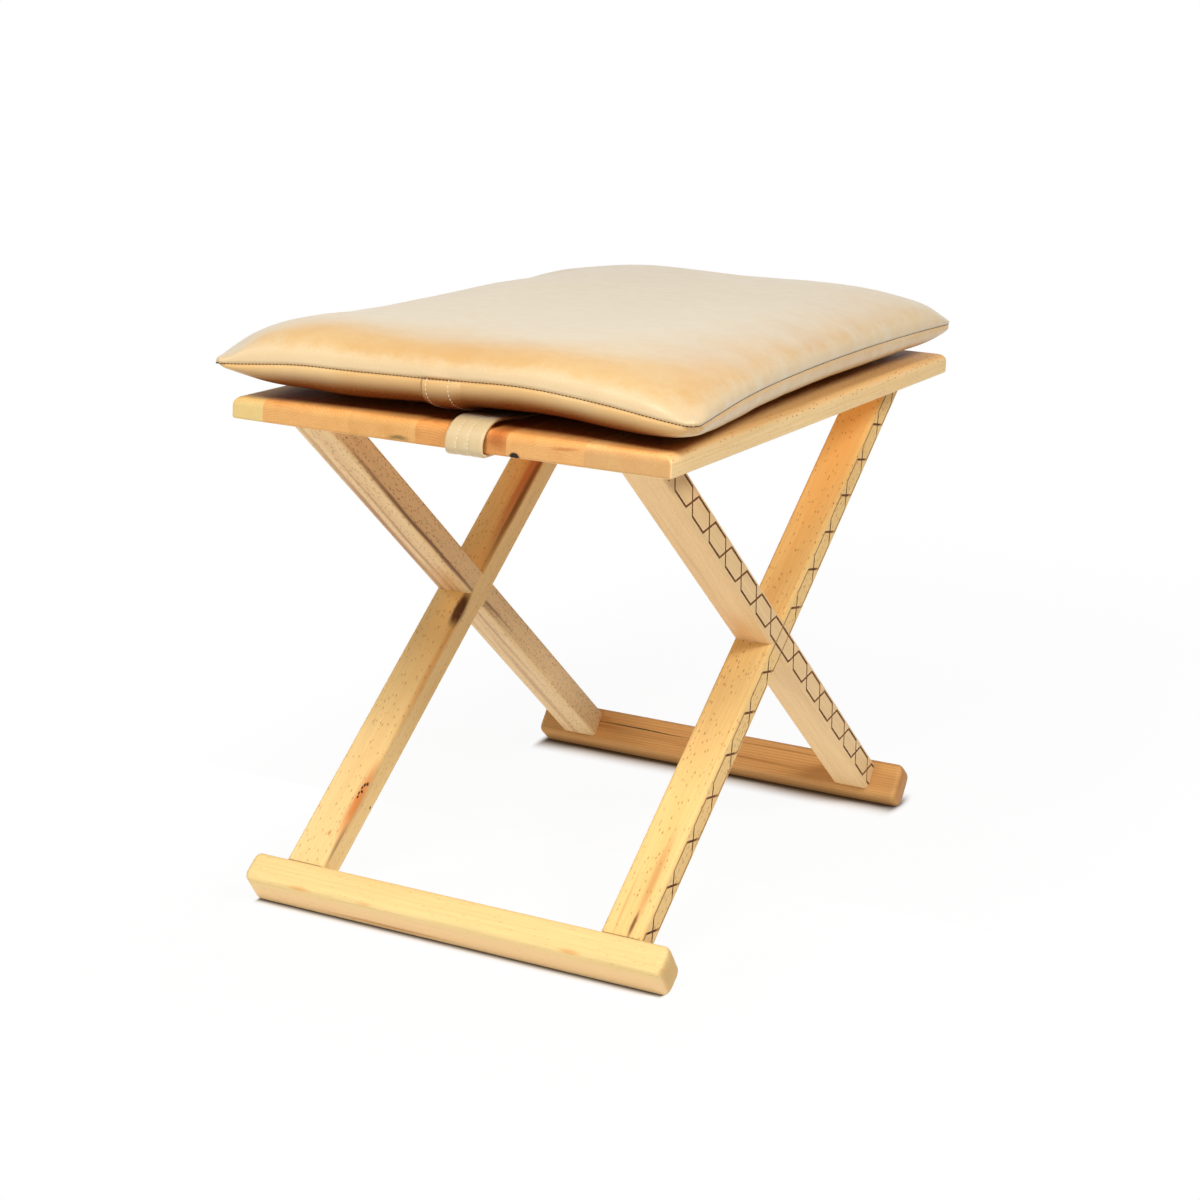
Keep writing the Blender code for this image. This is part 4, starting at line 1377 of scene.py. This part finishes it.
stave_woods = [
    beech(
        "stave_1_beech", stave_place(-0.173),
        (0.93, 0.72, 0.32), (0.87, 0.58, 0.21), (0.03, 0.05), 1.3, 0.25,
        end_tint=STAVE_END, top_tint=TOP_SHADE_TINT,
    ),
    beech(
        "stave_2_beech", stave_place(-0.120),
        (0.93, 0.54, 0.205), (0.80, 0.34, 0.095), (-0.02, 0.045), 4.1, 0.4,
        end_tint=STAVE_END, top_tint=TOP_SHADE_TINT,
    ),
    beech(
        "stave_3_beech", stave_place(-0.052),
        (0.88, 0.50, 0.18), (0.74, 0.33, 0.09), (0.03, -0.05), 7.7, 0.3,
        marks=(((0.014, 0.0062, 0.0), (0.014, 0.0026, 0.03), (0.17, 0.13, 0.055), 0.8, 0.9),),
        end_tint=STAVE_END, top_tint=TOP_SHADE_TINT,
    ),
    beech(
        "stave_4_beech", stave_place(0.016),
        (0.86, 0.43, 0.14), (0.62, 0.22, 0.050), (-0.03, 0.04), 11.2, 0.3,
        marks=(((0.031, -0.004, 0.0), (0.013, 0.013, 0.12), (0.50, 0.135, 0.028), 0.8, 0.9),),
        end_tint=STAVE_END, top_tint=TOP_SHADE_TINT,
    ),
    beech(
        "stave_5_beech", stave_place(0.087),
        (0.92, 0.52, 0.20), (0.82, 0.36, 0.10), (0.01, 0.05), 13.9, 0.3,
        marks=(
            ((-0.026, 0.0072, 0.0), (0.0055, 0.0036, 0.05), KNOT, 1.0, 0.4),
            ((0.016, -0.003, 0.0), (0.018, 0.0020, 0.05), (0.56, 0.17, 0.04), 0.6, 0.9),
        ),
        end_tint=STAVE_END, top_tint=TOP_SHADE_TINT,
    ),
    beech(
        "stave_6_beech", stave_place(0.153),
        (0.98, 0.70, 0.345), (0.92, 0.56, 0.22), (-0.05, 0.06), 17.5, 0.3,
        # Deeper orange along the top front edge: painted shade beside the gap under the cushion
        marks=(((0.0, -0.010, 0.0), (0.050, 0.0075, 0.12), (0.86, 0.40, 0.105), 0.75, 0.9),),
        flecks=0.85, fleck_colour=(0.43, 0.190, 0.062), dashes=True,
        end_tint=(0.60, 0.40, 0.25), top_tint=TOP_SHADE_TINT,
    ),
]
groove_lines = {
    (side, foot): scorched_groove(f"{side}_{foot}_groove", leg_place(side, foot), faint)
    for side in ("left", "right") for foot, faint in (("front", 0.80), ("back", 0.08))
}
leg_woods = {
    ("left", "front"): beech(
        "left_front_beech", leg_place("left", "front"),
        (0.92, 0.66, 0.295), (0.86, 0.53, 0.190), (-0.05, 0.06), 21.0, 0.2,
        marks=(
            # The upper arm deep orange: painted shade and light bounced from the board above
            ((0.000, -0.016, 0.22), (0.028, 0.016, 0.21), (1.0, 0.45, 0.110), 0.9, 0.9),
            ((0.011, -0.014, 0.17), (0.0120, 0.008, 0.20), (0.60, 0.165, 0.036), 0.9, 0.8),
            ((0.015, -0.012, 0.10), (0.0040, 0.005, 0.13), HEART_DARK, 0.75, 0.8),
            ((0.006, -0.012, 0.20), (0.0020, 0.005, 0.10), HEART, 0.75, 0.9),
            # Paler orange about and below the crossing: painted light where the seat's shadow falls
            ((0.004, -0.013, -0.030), (0.0200, 0.009, 0.110), (1.0, 0.66, 0.250), 0.85, 0.9),
            ((0.018, -0.012, -0.10), (0.0050, 0.007, 0.10), (0.78, 0.38, 0.10), 0.65, 0.9),
            ((0.015, -0.013, -0.032), (0.0075, 0.007, 0.026), HEART_DARK, 1.0, 0.6),
            ((0.0170, -0.013, -0.245), (0.0088, 0.010, 0.052), ORANGE, 1.0, 0.9),
            ((0.0190, -0.012, -0.288), (0.0030, 0.007, 0.034), HEART_DARK, 0.95, 0.7),
            ((0.0205, -0.012, -0.250), (0.0016, 0.006, 0.020), HEART, 0.9, 0.8),
            *knot_specks,
            ((0.0175, 0.0074, -0.234), (0.004, 0.0016, 0.002), KNOT, 0.95, 0.5),
            ((0.0065, -0.013, -0.282), (0.0022, 0.003, 0.0045), ORANGE, 0.7, 0.8),
        ),
        flecks=0.72, fleck_colour=(0.47, 0.205, 0.062), dashes=True, joint=-HALF_LEG,
    ),
    ("left", "back"): beech(
        "left_back_beech", leg_place("left", "back"),
        (0.87, 0.60, 0.300), (0.68, 0.395, 0.165), (0.01, 0.05), 24.5, 0.25,
        marks=(
            ((-0.011, -0.013, 0.13), (0.0042, 0.006, 0.30), (0.40, 0.19, 0.10), 0.85, 0.9),
            ((-0.001, -0.013, 0.10), (0.0028, 0.006, 0.22), (0.42, 0.20, 0.10), 0.75, 0.9),
            ((0.006, -0.013, -0.05), (0.0030, 0.006, 0.20), (0.48, 0.25, 0.13), 0.65, 0.9),
            ((-0.004, -0.013, -0.20), (0.0050, 0.006, 0.16), (0.52, 0.27, 0.13), 0.65, 0.9),
            # Darker orange in the V above the crossing: painted shade and bounce light
            ((0.000, -0.014, 0.045), (0.020, 0.008, 0.040), (0.72, 0.40, 0.16), 0.65, 0.9),
            ((0.0172, -0.009, 0.13), (0.0026, 0.0030, 0.23), (0.20, 0.08, 0.030), 0.9, 0.8),
            ((0.0172, -0.006, -0.03), (0.0024, 0.0022, 0.06), (0.24, 0.10, 0.035), 0.8, 0.8),
        ),
        flecks=0.90, fleck_colour=(0.26, 0.115, 0.042), fleck_size=1.25,
    ),
    ("right", "front"): beech(
        "right_front_beech", leg_place("right", "front"),
        (0.92, 0.62, 0.245), (0.87, 0.48, 0.145), (0.06, 0.04), 27.3, 0.2,
        marks=(
            # The upper arm deep orange: painted shade and light bounced from the board above
            ((0.000, -0.016, 0.24), (0.030, 0.018, 0.26), (0.90, 0.47, 0.135), 0.85, 0.9),
            ((0.006, -0.013, -0.262), (0.0055, 0.008, 0.075), (0.62, 0.29, 0.09), 0.75, 0.9),
            ((-0.007, -0.013, -0.280), (0.0018, 0.006, 0.050), (0.66, 0.32, 0.10), 0.55, 0.9),
            ((0.0050, -0.013, -0.302), (0.0024, 0.005, 0.015), HEART_DARK, 0.85, 0.8),
        ),
        flecks=0.85, fleck_colour=(0.43, 0.180, 0.055), dashes=True, joint=-HALF_LEG,
    ),
    ("right", "back"): beech(
        "right_back_beech", leg_place("right", "back"),
        (0.875, 0.595, 0.290), (0.79, 0.455, 0.185), (0.02, 0.07), 31.8, 0.2,
        marks=(
            # Darker orange in the V above the crossing: painted shade and bounce light
            ((-0.004, -0.013, 0.04), (0.016, 0.008, 0.045), (0.80, 0.44, 0.18), 0.65, 0.9),
            ((-0.008, -0.013, 0.16), (0.0030, 0.006, 0.10), (0.70, 0.42, 0.22), 0.5, 0.9),
        ),
        flecks=0.35,
    ),
}
RAIL_END = (0.74, 0.63, 0.54)
front_rail_wood = beech(
    "front_rail_beech", rail_place("front") @ RAIL_GRAIN,
    (0.87, 0.64, 0.275), (0.82, 0.52, 0.185), (0.05, 0.05), 35.1, 0.2,
    marks=(
        ((0.026, 0.0040, 0.0), (0.007, 0.0200, 0.60), (0.92, 0.61, 0.305), 0.9, 0.7),
        ((0.026, 0.0090, -0.06), (0.005, 0.0028, 0.085), (0.58, 0.25, 0.075), 0.7, 0.9),
        ((0.024, -0.0150, -0.135), (0.003, 0.0030, 0.014), (0.78, 0.36, 0.11), 0.7, 0.8),
        ((0.024, -0.0150, -0.075), (0.003, 0.0030, 0.013), (0.78, 0.36, 0.11), 0.75, 0.8),
        ((0.024, -0.0150, 0.110), (0.003, 0.0030, 0.013), (0.78, 0.36, 0.11), 0.7, 0.8),
    ),
    flecks=0.42, fleck_colour=(0.66, 0.34, 0.12), dashes=True, end_tint=RAIL_END,
)
back_rail_wood = beech(
    "back_rail_beech", rail_place("back") @ RAIL_GRAIN,
    (0.69, 0.365, 0.125), (0.44, 0.180, 0.048), (-0.04, 0.05), 38.6, 0.35,
    marks=(
        ((0.0, 0.003, -0.08), (0.004, 0.0011, 0.075), (0.05, 0.03, 0.015), 0.9, 0.7),
        ((0.0, -0.006, 0.03), (0.006, 0.0018, 0.10), (0.30, 0.115, 0.030), 0.6, 0.9),
        ((0.0, 0.009, 0.06), (0.006, 0.0014, 0.12), (0.34, 0.13, 0.035), 0.6, 0.9),
        ((0.0, -0.001, -0.14), (0.006, 0.0016, 0.07), (0.36, 0.14, 0.04), 0.6, 0.9),
    ),
    end_tint=RAIL_END,
)

make_board(stave_woods)
for stool_side in ("left", "right"):
    for stool_foot in ("front", "back"):
        make_leg(stool_side, stool_foot, leg_woods[stool_side, stool_foot], groove_lines)
make_rail("front", front_rail_wood)
make_rail("back", back_rail_wood)

# Leather
# The underside colour is painted shade and the seam colour a painted highlight
cover_leather = tan_leather(
    "cushion_leather", (0.725, 0.450, 0.170), (0.63, 0.34, 0.108), (0.76, 0.57, 0.31),
    seam_highlight=(0.745, 0.575, 0.340), under=(0.17, 0.042, 0.007),
)
strap_leather = tan_leather(
    "strap_tan_leather", (0.655, 0.495, 0.265), (0.595, 0.415, 0.200), (0.69, 0.540, 0.315), grain=0.8,
)
cream_thread = thread("cream_thread", (0.86, 0.80, 0.64), (0.70, 0.62, 0.45))
brown_thread = thread("brown_thread", (0.075, 0.030, 0.010), (0.034, 0.014, 0.006))
make_cover(cover_leather)
hem_rows = make_hem(cover_leather)
hem_stitches = stitched("hem_stitches", hem_rows, HEM_STITCH, cream_thread)
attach(hem_stitches, "cushion")
seam_stitches = stitched("seam_stitches", [seam_line()], SEAM_STITCH, brown_thread)
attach(seam_stitches, "cushion")
strap_rows = make_strap(strap_leather)
strap_stitches = stitched("strap_stitches", strap_rows, STRAP_STITCH, cream_thread)
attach(strap_stitches, "strap")

# Solids that stay as they are: pegs inside the joints and the snap under the board
peg_wood = beech(
    "dowel_beech", Matrix.Identity(4), (0.80, 0.62, 0.40), (0.70, 0.50, 0.29), (0.05, 0.05), 44.0, 0.3,
)
stud_brass = brushed_brass()
for name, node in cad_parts.items():
    if "_dowel_" in name or name.startswith("strap_stud"):
        node.data.materials.clear()
        node.data.materials.append(peg_wood if "_dowel_" in name else stud_brass)

bpy.context.scene.view_settings.view_transform = "Standard"
